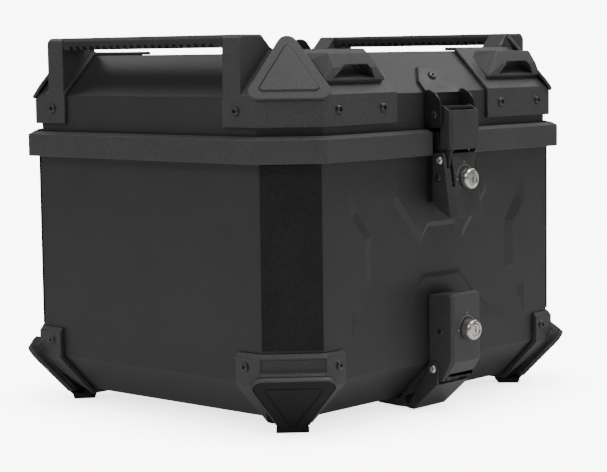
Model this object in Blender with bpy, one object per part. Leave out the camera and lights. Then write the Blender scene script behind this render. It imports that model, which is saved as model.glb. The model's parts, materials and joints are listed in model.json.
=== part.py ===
"""Motorcycle top case: hard tub and hinged lid, corner guards, fixed side handles,
keyed draw latch, keyed release lever under the lower lock housing.

Lengths in the script are millimetres; place() turns them into metres.
+X is to the right when looking at the lock face, -Y is the lock face (front), +Z is up.
The origin is the bottom centre: z = 0 is the plane the rubber feet stand on.
Corner pieces are drawn in the front left corner (-X, -Y) and mirrored to the others.
"""

import math
from collections import namedtuple

import bmesh
import bpy
from mathutils import Matrix, Vector

for old in list(bpy.data.objects):
    bpy.data.objects.remove(old, do_unlink=True)

# ---------------------------------------------------------------- driving dimensions
TO_METRES = 0.001
ROOT2 = math.sqrt(2)
GAP = 0.3                 # running and seating gap between separate pieces
SIDES = ((-1, "left"), (1, "right"))

HALF_WIDTH = 210.0        # half width of the tub and lid walls (X)
HALF_DEPTH = 186.0        # half depth of the tub and lid walls (Y)
FRONT_SEAT = -HALF_DEPTH - GAP   # back of whatever is bolted to the front wall
CORNER_LEG = 39.0         # leg of the 45 degree corner chamfer in plan
WALL = 3.0                # shell thickness
SLOPE_RUN = 38.0          # 45 degree slopes: this far in, this far up
INNER_LEG_DROP = 1.76     # the shell's inner corner leg is this much shorter
INNER_SHIFT = WALL * ROOT2 - WALL   # how far the inner fold moves along the slope side

Z_FLOOR = 11.0                        # underside of the tub
Z_TUB_FOLD = Z_FLOOR + SLOPE_RUN      # where the wall turns into the lower slope
Z_TUB_TOP = 262.5                     # top edge of the tub wall
Z_LID_LOW = 267.5                     # lower edge of the lid wall, on the gasket
Z_LID_FOLD = 303.0                    # where the lid wall turns into the slope
Z_LID_TOP = Z_LID_FOLD + SLOPE_RUN    # lid top
LID_LEG = 43.0            # lid corner leg, deeper than the tub's to seat the guard

FOLD_RATE = 0.414         # shift of a 45 degree fold per mm of offset
SEAT_SHIFT = 0.12         # the same shift on a surface GAP off the shell
GUARD_T = 3.4             # lid guard stands this far out of the wall
BASE_GUARD_T = 5.0        # base guard stands this far out of the wall
OUTSIDE_X, OUTSIDE_Y = -260.0, -240.0   # well clear of the case, left and front

SCREW_R = 2.4             # M5 screw shank
SCREW_HOLE_R = SCREW_R + GAP
STUD_R = 2.0
PIVOT_R = 3.0             # latch, release and stay pivots
PIVOT_BORE_R = PIVOT_R + GAP
BARREL_R = 8.0            # lock barrel behind its rim

HINGE_Y, HINGE_Z = 204.0, 262.0   # lid hinge axis (along X)
HINGE_X = 38.0                    # centre of each hinge
HINGE_CENTRE = (HINGE_Y, HINGE_Z)
LID_OPEN = 95.0                   # opening angle, degrees

LEVER_CENTRE = (-202.0, 239.7)    # (y, z) of the draw latch lever pivot
HOOK_CENTRE = (-200.5, 223.7)     # (y, z) of the hook pivot on the lever
LOCK_Z = 222.3                    # latch lock axis height
BASE_LOCK_Z = 80.3                # lower lock axis height
RELEASE_CENTRE = (-193.0, 43.0)   # (y, z) of the release lever pivot

STAY_R = 110.0            # distance of both stay pivots from the hinge axis
STAY_LID_DEG = 8.0        # closed angle of the lid pivot about the hinge axis
STAY_TUB_DEG = -12.0      # angle of the tub pivot
STAY_X = 199.5            # mid plane of each lid stay


def stay_point(degrees):
    """(y, z) of a stay pivot at this angle about the hinge axis."""
    angle = math.radians(degrees)
    return (HINGE_Y - STAY_R * math.cos(angle), HINGE_Z + STAY_R * math.sin(angle))


STAY_LID_POINT = stay_point(STAY_LID_DEG)
STAY_TUB_POINT = stay_point(STAY_TUB_DEG)

# name: (flip x, flip y) from the front left corner
CORNERS = {
    "front_left": (False, False),
    "front_right": (True, False),
    "rear_left": (False, True),
    "rear_right": (True, True),
}

# guard screws of the front left corner: axis, wall distance, place on that wall
LID_SCREWS = [
    ("y", HALF_DEPTH, (-151.0, 291.0)),
    ("y", HALF_DEPTH, (-90.0, 291.0)),
    ("x", HALF_WIDTH, (-123.0, 290.5)),
]
BASE_SCREWS = [
    ("y", HALF_DEPTH, (-156.0, 64.0)),
    ("x", HALF_WIDTH, (-131.0, 64.0)),
]

# stud places: (x, z) on the front wall, (x, y) on the floor
LATCH_STUDS = [(-13.0, 232.0), (13.0, 232.0), (-13.0, 211.0), (13.0, 211.0)]
HOUSING_STUDS = [(-13.0, 106.0), (13.0, 106.0)]
STRIKER_STUDS = [(-17.0, 278.0), (17.0, 278.0)]
PLATE_STUDS = [(-75, -62), (75, -62), (-75, 72), (75, 72)]
TUB_RIVET_Z, LID_RIVET_Z = 252.0, 290.0   # hinge rivets
RIVET_OFFSET = 15                         # from the middle of the hinge

# y spans that cut through the walls
FRONT_WALL = (-192, -180)
REAR_WALL = (180, 192)

# inner ends of the studs and rivets: (y, radius)
INNER_FACE = HALF_DEPTH - WALL - GAP
STUD_TAIL = [(-INNER_FACE, STUD_R), (-INNER_FACE, 4.4), (-180.9, 4.4)]
RIVET_TAIL = [(INNER_FACE, STUD_R), (INNER_FACE, 3.6), (181.2, 3.6)]

# ---------------------------------------------------------------- materials
# kind: (base colour, roughness, metallic)
PALETTE = {
    "shell": ((0.034, 0.034, 0.035), 0.55, 0.0),
    "guard": ((0.060, 0.060, 0.061), 0.60, 0.0),
    "panel": ((0.014, 0.014, 0.015), 0.90, 0.0),
    "rubber": ((0.020, 0.020, 0.020), 0.85, 0.0),
    "black_metal": ((0.012, 0.012, 0.013), 0.35, 0.8),
    "chrome": ((0.78, 0.76, 0.72), 0.12, 1.0),
    "steel": ((0.55, 0.55, 0.55), 0.30, 1.0),
    "screw": ((0.030, 0.030, 0.032), 0.35, 0.9),
    "liner": ((0.045, 0.045, 0.050), 0.95, 0.0),
}


def material(kind, name):
    colour, roughness, metallic = PALETTE[kind]
    result = bpy.data.materials.new(name)
    result.use_nodes = True
    shader = result.node_tree.nodes["Principled BSDF"]
    shader.inputs["Base Color"].default_value = (*colour, 1.0)
    shader.inputs["Roughness"].default_value = roughness
    shader.inputs["Metallic"].default_value = metallic
    result.diffuse_color = (*colour, 1.0)
    return result


# ---------------------------------------------------------------- solids
# axis: point from a section point and a station along the axis
AXIS_POINT = {
    "x": lambda point, station: (station, point[0], point[1]),
    "y": lambda point, station: (point[0], station, point[1]),
    "z": lambda point, station: (point[0], point[1], station),
}


def working_object(mesh):
    obj = bpy.data.objects.new("tmp", mesh)
    bpy.context.scene.collection.objects.link(obj)
    return obj


def finish_mesh(bm):
    bmesh.ops.remove_doubles(bm, verts=bm.verts, dist=1e-4)
    bmesh.ops.recalc_face_normals(bm, faces=bm.faces)
    mesh = bpy.data.meshes.new("tmp")
    bm.to_mesh(mesh)
    bm.free()
    return working_object(mesh)


def loft(rings, closed=False):
    """Solid through rings of equal point count: capped, or closed from last to first."""
    bm = bmesh.new()
    rows = [[bm.verts.new(point) for point in points] for points in rings]
    pairs = list(zip(rows, rows[1:]))
    if closed:
        pairs.append((rows[-1], rows[0]))
    count = len(rows[0])
    for low, high in pairs:
        for i in range(count):
            j = (i + 1) % count
            bm.faces.new((low[i], low[j], high[j], high[i]))
    if not closed:
        bm.faces.new(rows[0][::-1])
        bm.faces.new(rows[-1])
    return finish_mesh(bm)


def prism(outline, axis, low, high):
    """Extrude a polygon. axis x: points are (y, z); y: (x, z); z: (x, y)."""
    put = AXIS_POINT[axis]
    return loft([[put(point, station) for point in outline] for station in (low, high)])


def box(x_span, y_span, z_span):
    (x0, x1), (y0, y1) = x_span, y_span
    return prism([(x0, y0), (x1, y0), (x1, y1), (x0, y1)], "z", *z_span)


def circle(centre, radius, count, start):
    angles = [start + 2 * math.pi * i / count for i in range(count)]
    return [
        (centre[0] + radius * math.cos(angle), centre[1] + radius * math.sin(angle))
        for angle in angles
    ]


def turned(axis, centre, profile, count):
    """Solid of revolution from (station along the axis, radius) pairs, ends capped."""
    put = AXIS_POINT[axis]
    return loft([
        [put(point, station) for point in circle(centre, radius, count, math.pi / count)]
        for station, radius in profile
    ])


def cylinder(axis, centre, radius, low, high, count):
    return turned(axis, centre, [(low, radius), (high, radius)], count)


def headed_pin(centre, half_profile, count, middle=0.0):
    """Pin along X, alike at both ends: (distance from middle, radius), from the end in."""
    left = [(middle - distance, radius) for distance, radius in half_profile]
    right = [(middle + distance, radius) for distance, radius in half_profile[::-1]]
    return turned("x", centre, left + right, count)


def hull(points):
    bm = bmesh.new()
    for point in points:
        bm.verts.new(point)
    bmesh.ops.convex_hull(bm, input=bm.verts)
    loose = [vert for vert in bm.verts if not vert.link_faces]
    bmesh.ops.delete(bm, geom=loose, context="VERTS")
    bmesh.ops.dissolve_limit(
        bm, angle_limit=math.radians(0.2), verts=bm.verts, edges=bm.edges
    )
    return finish_mesh(bm)


def across(half, outline):
    """(y, z) outline repeated at x = -half and x = half, for a hull."""
    return [(x, y, z) for x in (-half, half) for y, z in outline]


def span(side, inner, outer):
    """X span between two distances from the middle, on one side."""
    return sorted((side * inner, side * outer))


def grown(limits):
    """A span widened by the gap at both ends."""
    return (limits[0] - GAP, limits[1] + GAP)


# ---------------------------------------------------------------- booleans and mirroring
def combine(target, others, operation):
    """Apply the booleans one after the other and remove the tools."""
    if not isinstance(others, (list, tuple)):
        others = [others]
    for other in others:
        modifier = target.modifiers.new("bool", "BOOLEAN")
        modifier.operation = operation
        modifier.solver = "EXACT"
        modifier.object = other
        depsgraph = bpy.context.evaluated_depsgraph_get()
        mesh = bpy.data.meshes.new_from_object(target.evaluated_get(depsgraph))
        target.modifiers.clear()
        old_mesh = target.data
        target.data = mesh
        bpy.data.meshes.remove(old_mesh)
        bpy.data.objects.remove(other, do_unlink=True)


def cut(target, others):
    combine(target, others, "DIFFERENCE")


def fuse(target, others):
    combine(target, others, "UNION")


def keep(target, other):
    combine(target, other, "INTERSECT")


def flip(obj, flip_x, flip_y):
    """Mirror in place about the middle planes."""
    scale_x, scale_y = (-1 if flip_x else 1), (-1 if flip_y else 1)
    obj.data.transform(Matrix.Diagonal((scale_x, scale_y, 1, 1)))
    if scale_x * scale_y < 0:
        obj.data.flip_normals()
    return obj


def mirrored(obj, flip_x, flip_y):
    return flip(working_object(obj.data.copy()), flip_x, flip_y)


# ---------------------------------------------------------------- holes and studs
def drill(target, screws, outwards, inwards, corners):
    """Clearance holes for the guard screws, to these distances from the wall's face."""
    for flips in corners:
        for axis, wall, spot in screws:
            tool = cylinder(axis, spot, SCREW_HOLE_R, -wall - outwards, -wall + inwards, 12)
            cut(target, flip(tool, *flips))


def stud_holes(target, spots, y_span):
    for spot in spots:
        cut(target, cylinder("y", spot, STUD_R + GAP, *y_span, 10))


def fuse_studs(target, spots, profile):
    for spot in spots:
        fuse(target, turned("y", spot, profile, 10))


def rivet_spots(middle, z):
    return [(middle + offset, z) for offset in (-RIVET_OFFSET, RIVET_OFFSET)]


def side_fixings(target, pin_point, rivet_z):
    """Blind holes for the stay pins in the side walls, rivet holes in the rear wall."""
    for side, _ in SIDES:
        tool = cylinder("x", pin_point, PIVOT_BORE_R, side * 203, side * (HALF_WIDTH - 1.0), 12)
        cut(target, tool)
        stud_holes(target, rivet_spots(side * HINGE_X, rivet_z), REAR_WALL)


def cross_bore(target, centre, radius, count=16, middle=0.0):
    """Bore along X, 30 mm to each side of the middle."""
    cut(target, cylinder("x", centre, radius, middle - 30, middle + 30, count))


# ---------------------------------------------------------------- plan rings and corner facets
def leg_at(offset, leg=CORNER_LEG):
    """Chamfer leg of the plan outline offset outwards by offset."""
    return max(leg + (2 - ROOT2) * offset, 1.5)


def ring(offset, z, leg=None):
    """Eight-point plan outline: the wall outline offset outwards, at height z."""
    leg = leg_at(offset) if leg is None else leg
    width, depth = HALF_WIDTH + offset, HALF_DEPTH + offset
    plan = [
        (-width + leg, -depth),
        (width - leg, -depth),
        (width, -depth + leg),
        (width, depth - leg),
        (width - leg, depth),
        (-width + leg, depth),
        (-width, depth - leg),
        (-width, -depth + leg),
    ]
    return [(x, y, z) for x, y in plan]


def ring_section(profile, leg=CORNER_LEG):
    """Closed ring: the profile's (offset, z) points joined round the plan outline."""
    return loft([ring(offset, z, leg_at(offset, leg)) for offset, z in profile], closed=True)


def leg_for(offset, total):
    """Leg that puts the corner line |x| + |y| = total on an outline with this offset."""
    return HALF_WIDTH + HALF_DEPTH + 2 * offset - total


CORNER_SUM = HALF_WIDTH + HALF_DEPTH - CORNER_LEG      # |x| + |y| on the corner plane
FACET_SUM_END = HALF_WIDTH + HALF_DEPTH - 2 * SLOPE_RUN - 2.0   # at the floor or lid top
FACET_DROP = (CORNER_SUM - FACET_SUM_END) / SLOPE_RUN   # how it falls per mm of height
FACET_TILT = math.atan2(ROOT2, FACET_DROP)              # facet angle from the horizontal


def facet_sum(height, normal=0.0):
    """|x| + |y| on the corner facet, height from the fold, offset along its normal."""
    return CORNER_SUM - FACET_DROP * height + normal * ROOT2 / math.sin(FACET_TILT)


def corner_point(sideways, total, z):
    """Point on the front left line |x| + |y| = total, sideways from its middle."""
    middle = HALF_WIDTH - HALF_DEPTH
    x = (-total - middle) / 2 + sideways / ROOT2
    y = (-total + middle) / 2 - sideways / ROOT2
    return (x, y, z)


# total, z: where the facet starts; cos, sin: of its tilt; upwards: 1 rising, -1 falling
Facet = namedtuple("Facet", "total z cos sin upwards")


def facet_slab(facet, outline, low, high):
    """Slab on a front left facet: outline (sideways, along), from low to high outwards."""
    def point(sideways, along, normal):
        total = facet.total - along * facet.cos * ROOT2 + normal * facet.sin * ROOT2
        z = facet.z + facet.upwards * (along * facet.sin + normal * facet.cos)
        return corner_point(sideways, total, z)

    return loft([[point(*spot, normal) for spot in outline] for normal in (low, high)])


def rounded(points, radius, steps):
    """Round every corner of a convex polygon."""
    outline = []
    for i, point in enumerate(points):
        corner = Vector(point)
        before = (Vector(points[i - 1]) - corner).normalized()
        after = (Vector(points[(i + 1) % len(points)]) - corner).normalized()
        half = before.angle(after) / 2
        reach = radius / math.tan(half)
        centre = corner + (before + after).normalized() * (radius / math.sin(half))
        first = corner + before * reach - centre
        last = corner + after * reach - centre
        angle0, angle1 = math.atan2(first.y, first.x), math.atan2(last.y, last.x)
        turn = (angle1 - angle0 + math.pi) % (2 * math.pi) - math.pi
        for k in range(steps + 1):
            angle = angle0 + turn * k / steps
            outline.append(
                (centre.x + radius * math.cos(angle), centre.y + radius * math.sin(angle))
            )
    return outline


def triangle(inset, radius, height, slope, steps=5):
    """Rounded triangle in (sideways, along): base at inset, slope is sideways per along."""
    tip = height - inset / math.sin(math.atan(slope))
    half = (tip - inset) * slope
    return rounded([(-half, inset), (half, inset), (0, tip)], radius, steps)


# ---------------------------------------------------------------- axes and placing
# name: (pivot, parent axis)
AXES = {
    "axis_lid": ((0, *HINGE_CENTRE), None),
    "axis_lever": ((0, *LEVER_CENTRE), None),
    "axis_hook": ((0, *HOOK_CENTRE), "axis_lever"),
    "axis_latch_plug": ((0, -214.0, LOCK_Z), "axis_lever"),
    "axis_base_plug": ((0, -215.0, BASE_LOCK_Z), None),
    "axis_release": ((0, *RELEASE_CENTRE), None),
    "axis_stay_left": ((-STAY_X, *STAY_LID_POINT), "axis_lid"),
    "axis_stay_right": ((STAY_X, *STAY_LID_POINT), "axis_lid"),
}
PIVOTS = {}   # name: (empty, world place in metres)


def build_axes():
    for name, (pivot, parent) in AXES.items():
        node = bpy.data.objects.new(name, None)
        node.empty_display_size = 0.03
        bpy.context.scene.collection.objects.link(node)
        base = Vector((0, 0, 0))
        if parent:
            node.parent, base = PIVOTS[parent]
        world = Vector(pivot) * TO_METRES
        node.location = world - base
        PIVOTS[name] = (node, world)


def place(obj, name, kind, axis=None, smooth=False):
    """Name the piece, give it its material, put its origin on its body's axis."""
    obj.name = name
    obj.data.name = name
    pivot = PIVOTS[axis][1] if axis else Vector((0, 0, 0))
    obj.data.transform(Matrix.Scale(TO_METRES, 4))
    obj.data.transform(Matrix.Translation(-pivot))
    if axis:
        obj.parent = PIVOTS[axis][0]
    obj.data.materials.clear()
    obj.data.materials.append(material(kind, name))
    obj.data.update()
    if smooth:
        obj.data.shade_smooth()
        obj.data.set_sharp_from_angle(angle=math.radians(35))


def place_corners(piece, name, kind, axis=None):
    for corner, flips in CORNERS.items():
        place(mirrored(piece, *flips), f"{name}_{corner}", kind, axis)
    bpy.data.objects.remove(piece)


def place_pair(piece, name, kind, axis=None, smooth=False):
    for side, label in SIDES:
        place(mirrored(piece, side > 0, False), f"{name}_{label}", kind, axis, smooth)
    bpy.data.objects.remove(piece)


# ---------------------------------------------------------------- tub
Z_BAND_LOW = 244.5        # rim frame, lower edge
Z_BAND_SHOULDER = 265.8   # rim frame, start of the sloped top facet
Z_BAND_TOP = 268.7        # rim frame, top
BAND_OUT = 11.0           # how far the rim frame stands out of the wall
BAND_IN = 4.2             # offset of its upper inner face

# rim frame section: (offset, z)
FRAME_SECTION = [
    (GAP, Z_BAND_LOW),
    (BAND_OUT, Z_BAND_LOW),
    (BAND_OUT, Z_BAND_SHOULDER),
    (5.5, Z_BAND_TOP),
    (BAND_IN, Z_BAND_TOP),
    (BAND_IN, Z_TUB_TOP),
    (GAP, Z_TUB_TOP),
]
GASKET_IN, GASKET_OUT, GASKET_TOP = -2.7, 3.8, 267.2

# corner panels on the chamfers
PANEL_HALF = 27.3
PANEL_FACE = 1.4
PANEL_Z = (79.0, 243.5)
MAT_TOP = Z_FLOOR + WALL + 3.3


def build_tub():
    inner_leg = CORNER_LEG - INNER_LEG_DROP
    tub = loft([
        ring(-SLOPE_RUN, Z_FLOOR, 2.0),
        ring(0, Z_TUB_FOLD, CORNER_LEG),
        ring(0, Z_TUB_TOP, CORNER_LEG),
        ring(-WALL, Z_TUB_TOP, inner_leg),
        ring(-WALL, Z_TUB_FOLD + INNER_SHIFT, inner_leg),
        ring(-SLOPE_RUN - INNER_SHIFT, Z_FLOOR + WALL, 3.5),
    ])
    drill(tub, BASE_SCREWS, 4, 6, CORNERS.values())
    stud_holes(tub, LATCH_STUDS + HOUSING_STUDS, FRONT_WALL)
    side_fixings(tub, STAY_TUB_POINT, TUB_RIVET_Z)
    for spot in PLATE_STUDS:
        cut(tub, cylinder("z", spot, PIVOT_BORE_R, 8, 17, 12))
    place(tub, "tub_shell", "shell")


def build_rim():
    """Frame round the tub's top edge and the gasket it holds, both notched at the latch."""
    frame = ring_section(FRAME_SECTION)
    cut(frame, box((-27.3, 27.3), (-200, -189), (240, 272)))
    for side, _ in SIDES:
        stud_holes(frame, rivet_spots(side * HINGE_X, TUB_RIVET_Z), (184, 200))
    place(frame, "rim_frame", "guard")

    low = Z_TUB_TOP + GAP
    gasket = ring_section([
        (GASKET_IN, low), (GASKET_OUT, low), (GASKET_OUT, GASKET_TOP), (GASKET_IN, GASKET_TOP),
    ])
    cut(gasket, box((-27.6, 27.6), (-200, -188.9), (255, 272)))
    place(gasket, "rim_gasket", "rubber")


def build_corner_panels():
    section = (
        (-PANEL_HALF, GAP), (PANEL_HALF, GAP), (PANEL_HALF, PANEL_FACE), (-PANEL_HALF, PANEL_FACE),
    )
    panel = loft([
        [corner_point(sideways, CORNER_SUM + normal * ROOT2, z) for sideways, normal in section]
        for z in PANEL_Z
    ])
    place_corners(panel, "corner_panel", "panel")


def build_floor_mat():
    floor_mat = loft([ring(-42.0, Z_FLOOR + WALL + GAP, 8.0), ring(-39.5, MAT_TOP, 8.0)])
    for spot in PLATE_STUDS:
        cut(floor_mat, cylinder("z", spot, 9.5, 10, 20, 12))
    place(floor_mat, "floor_mat", "liner")


# ---------------------------------------------------------------- lid
SLOPE_SCREW = (0.0, -174.5, 317.5)   # on the axis of the striker's slope screw
SLOPE_HOLE_R = 2.9
LINER_OFFSET, LINER_LEG = -46.0, 10.0


def slope_cylinder(radius, low, high, count=12):
    """Cylinder square to the front slope, through SLOPE_SCREW, from low to high outwards."""
    tool = cylinder("z", (0, 0), radius, low, high, count)
    tool.data.transform(Matrix.Rotation(math.radians(45), 4, "X"))
    tool.data.transform(Matrix.Translation(SLOPE_SCREW))
    return tool


def lid_envelope(offset, z_low, leg, top_leg):
    """The lid's outside grown by the gap, to seat pieces on it."""
    return loft([
        ring(offset, z_low, leg),
        ring(offset, Z_LID_FOLD + SEAT_SHIFT, leg),
        ring(-SLOPE_RUN + SEAT_SHIFT, Z_LID_TOP + GAP, top_leg),
    ])


def build_lid():
    inner_leg = LID_LEG - INNER_LEG_DROP
    lid = loft([
        ring(0, Z_LID_LOW, LID_LEG),
        ring(0, Z_LID_FOLD, LID_LEG),
        ring(-SLOPE_RUN, Z_LID_TOP, 5.0),
    ])
    hollow = loft([
        ring(-WALL, Z_LID_LOW - 5, inner_leg),
        ring(-WALL, Z_LID_FOLD - INNER_SHIFT, inner_leg),
        ring(-SLOPE_RUN - INNER_SHIFT, Z_LID_TOP - WALL, 6.5),
    ])
    cut(lid, hollow)
    drill(lid, LID_SCREWS, 4, 6, CORNERS.values())
    side_fixings(lid, STAY_LID_POINT, LID_RIVET_Z)
    stud_holes(lid, STRIKER_STUDS, FRONT_WALL)
    cut(lid, slope_cylinder(SLOPE_HOLE_R, -12, 6))
    place(lid, "lid_shell", "shell", "axis_lid")


def build_lid_liner():
    ceiling = Z_LID_TOP - WALL
    liner = loft([ring(LINER_OFFSET, z, LINER_LEG) for z in (ceiling - 3.3, ceiling - GAP)])
    place(liner, "lid_liner", "liner", "axis_lid")


# ---------------------------------------------------------------- lid corner guards
GUARD_LOW = 276.0         # lower edge of the skirts
GUARD_X = -69.0           # inner end on the lock and hinge faces
GUARD_Y = -106.0          # inner end on the side faces
GUARD_FACET_OUT = 0.9     # sheet on the corner facet, under the bumper

HANDLE_TOP = 358.0
HANDLE_LOW = 346.5
POST_Y = (-129.0, -107.0)
TENON_X = (-206.0, -191.0)
TENON_Z = (349.0, 355.0)
TENON_END = 115.0

# handle post: (x, z)
POST_OUTLINE = [
    (-213.4, 303.6), (-213.4, HANDLE_TOP - 3), (-210.4, HANDLE_TOP), (-184.0, HANDLE_TOP),
    (-171.0, 345.5), (-171.0, 342.9), (-172.6, 342.5), (-211.5, 303.6),
]
# tie-down loop on the front slope and the pocket under it: hull points (x, y, z)
LOOP_POINTS = [
    (-152, -150, 340.6), (-98, -150, 340.6), (-152, -179, 340.6), (-98, -179, 340.6),
    (-154, -186.5, 327), (-96, -186.5, 327),
    (-165, -183.5, 316), (-79, -183.5, 316), (-165, -176, 314), (-79, -176, 314),
    (-162, -158, 333), (-82, -158, 333),
]
POCKET_POINTS = [
    (-153, -197, 311.5), (-93, -197, 311.5), (-139, -197, 326.8), (-106, -197, 326.8),
    (-139, -170, 334.0), (-106, -170, 334.0), (-150, -172, 323.5), (-96, -172, 323.5),
    (-139, -164.5, 333.0), (-106, -164.5, 333.0), (-139, -165, 330.2), (-106, -165, 330.2),
]
# handle bar: (x, z)
BAR_OUTLINE = [
    (-213.0, HANDLE_LOW + 1.5), (-213.0, HANDLE_TOP - 3.5), (-209.5, HANDLE_TOP),
    (-188.0, HANDLE_TOP), (-184.3, HANDLE_TOP - 2.5), (-184.3, HANDLE_LOW + 1.5),
    (-186.0, HANDLE_LOW), (-211.5, HANDLE_LOW),
]

BUMPER_BASE = -4.2        # lower edge of the corner bumper, from the lid fold
BUMPER_SIZE = {"height": 78.5, "slope": 0.544}
LID_FACET = Facet(
    total=facet_sum(BUMPER_BASE),
    z=Z_LID_FOLD + BUMPER_BASE,
    cos=math.cos(FACET_TILT),
    sin=math.sin(FACET_TILT),
    upwards=1,
)


def guard_sheet():
    """Skirts, slopes and top of a lid guard, cut to its corner."""
    fold = Z_LID_FOLD + FOLD_RATE * GUARD_T
    top = Z_LID_TOP + GUARD_T
    top_offset = -SLOPE_RUN + FOLD_RATE * GUARD_T
    fold_sum = facet_sum(fold - Z_LID_FOLD, GUARD_FACET_OUT)
    top_sum = facet_sum(top - Z_LID_FOLD, GUARD_FACET_OUT)
    guard = loft([
        ring(GUARD_T, GUARD_LOW),
        ring(GUARD_T, fold - 1.2),
        ring(GUARD_T, fold, leg_for(GUARD_T, fold_sum)),
        ring(top_offset, top, leg_for(top_offset, top_sum)),
    ])
    cut(guard, lid_envelope(GAP, GUARD_LOW - 6, LID_LEG + 0.18, 5.1))
    keep(guard, box((OUTSIDE_X, GUARD_X), (OUTSIDE_Y, GUARD_Y), (270, 352)))
    # notch the sheet on the lid top
    cut(guard, box((-160, -60), (-136.5, -100), (Z_LID_TOP + 0.05, 352)))
    return guard


def build_lid_guards():
    guard = guard_sheet()
    # handle post standing on the side slope, with a pocket for the bar's tenon
    fuse(guard, prism(POST_OUTLINE, "y", *POST_Y))
    cut(guard, box(grown(TENON_X), (-115.8, -106), grown(TENON_Z)))
    # tie-down loop, its pocket and the slot behind it
    fuse(guard, hull(LOOP_POINTS))
    cut(guard, hull(POCKET_POINTS))
    cut(guard, box((-139, -106), (-169.5, -161.5), (332.6, 346)))
    # seat for the corner bumper
    cut(guard, facet_slab(LID_FACET, triangle(-0.5, 9.5, **BUMPER_SIZE), GUARD_FACET_OUT, 14.0))
    drill(guard, LID_SCREWS, 8, 2, [CORNERS["front_left"]])
    place_corners(guard, "lid_guard", "guard", "axis_lid")


def build_lid_bumpers():
    bumper = facet_slab(LID_FACET, triangle(0.0, 9.0, **BUMPER_SIZE), 1.3, 4.5)
    fuse(bumper, facet_slab(LID_FACET, triangle(8.5, 3.0, **BUMPER_SIZE, steps=3), 3.0, 5.6))
    place_corners(bumper, "lid_bumper", "guard", "axis_lid")


def build_handle_bars():
    """Bars between the posts, tenons in the posts' pockets."""
    bar_end = -POST_Y[1] - 0.4
    bar = prism(BAR_OUTLINE, "y", -bar_end, bar_end)
    fuse(bar, box(TENON_X, (-TENON_END, TENON_END), TENON_Z))
    place_pair(bar, "handle_bar", "panel", "axis_lid")


# ---------------------------------------------------------------- guard screws
SCREW_HEAD_R = 4.0
SCREW_HEAD_T = 1.6
STRIP_IN = 5.5            # inner face of a nut strip, from the wall's outer face
STRIP_T = 2.2


def guard_screw(axis, wall, spot, guard_face):
    seat = -wall - guard_face - GAP
    return turned(axis, spot, [
        (seat - SCREW_HEAD_T, SCREW_HEAD_R - 1.2),
        (seat - SCREW_HEAD_T + 0.7, SCREW_HEAD_R),
        (seat, SCREW_HEAD_R),
        (seat, SCREW_R),
        (-wall + STRIP_IN - 1.0, SCREW_R),
    ], 12)


def nut_strip(low, high, leg, stop, screws, guard_face):
    """Strip round the left side inside the wall, with the guard screws it carries."""
    back, face = -STRIP_IN, -STRIP_IN + STRIP_T
    strip = ring_section([(back, low), (face, low), (face, high), (back, high)], leg)
    keep(strip, box((OUTSIDE_X, stop), (OUTSIDE_Y, -OUTSIDE_Y), (low - 5, high + 5)))
    for flip_y in (False, True):
        for screw in screws:
            fuse(strip, flip(guard_screw(*screw, guard_face), False, flip_y))
    return strip


def build_guard_screws():
    strip = nut_strip(284.0, 297.0, LID_LEG, -84.0, LID_SCREWS, GUARD_T)
    place_pair(strip, "lid_guard_screws", "screw", "axis_lid", smooth=True)
    strip = nut_strip(57.0, 71.0, CORNER_LEG, -150.0, BASE_SCREWS, BASE_GUARD_T)
    place_pair(strip, "base_guard_screws", "screw", smooth=True)


# ---------------------------------------------------------------- base corner guards and feet
BASE_GUARD_HIGH = 76.5    # top edge
BASE_GUARD_X = -147.0     # inner end on the lock and hinge faces
BASE_GUARD_Y = -119.0     # inner end on the side faces
BASE_LOW = Z_FLOOR - BASE_GUARD_T
BASE_FOLD = Z_TUB_FOLD - FOLD_RATE * BASE_GUARD_T
BASE_NOSE_SUM = CORNER_SUM + 13.0 * ROOT2   # |x| + |y| where the corner stands out most
BASE_SUM_HIGH = facet_sum(2.0, 6.0)         # at the top of the guard's own facet
BASE_SUM_LOW = facet_sum(SLOPE_RUN + BASE_GUARD_T, 3.6)   # at its bottom

FACET_RUN, FACET_FALL = (BASE_SUM_HIGH - BASE_SUM_LOW) / ROOT2, BASE_FOLD - BASE_LOW
FACET_LENGTH = math.hypot(FACET_RUN, FACET_FALL)
BASE_FACET = Facet(
    total=BASE_SUM_HIGH,
    z=BASE_FOLD,
    cos=FACET_RUN / FACET_LENGTH,
    sin=FACET_FALL / FACET_LENGTH,
    upwards=-1,
)

FOOT_SHIFT = -11.3        # foot triangle's start along the facet
FOOT_SIZE = {"height": 84.0, "slope": 0.486}
# foot block: z, then (sideways, |x| + |y|) of its outline at that height
FOOT_BLOCK = [
    (0.0, [(-15, 320.5), (15, 320.5), (13, 291.0), (-13, 291.0)]),
    (5.6, [(-15, 322.5), (15, 322.5), (13, 291.0), (-13, 291.0)]),
]


def foot_outline(inset, radius):
    outline = triangle(inset, radius, **FOOT_SIZE)
    return [(sideways, along + FOOT_SHIFT) for sideways, along in outline]


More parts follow.
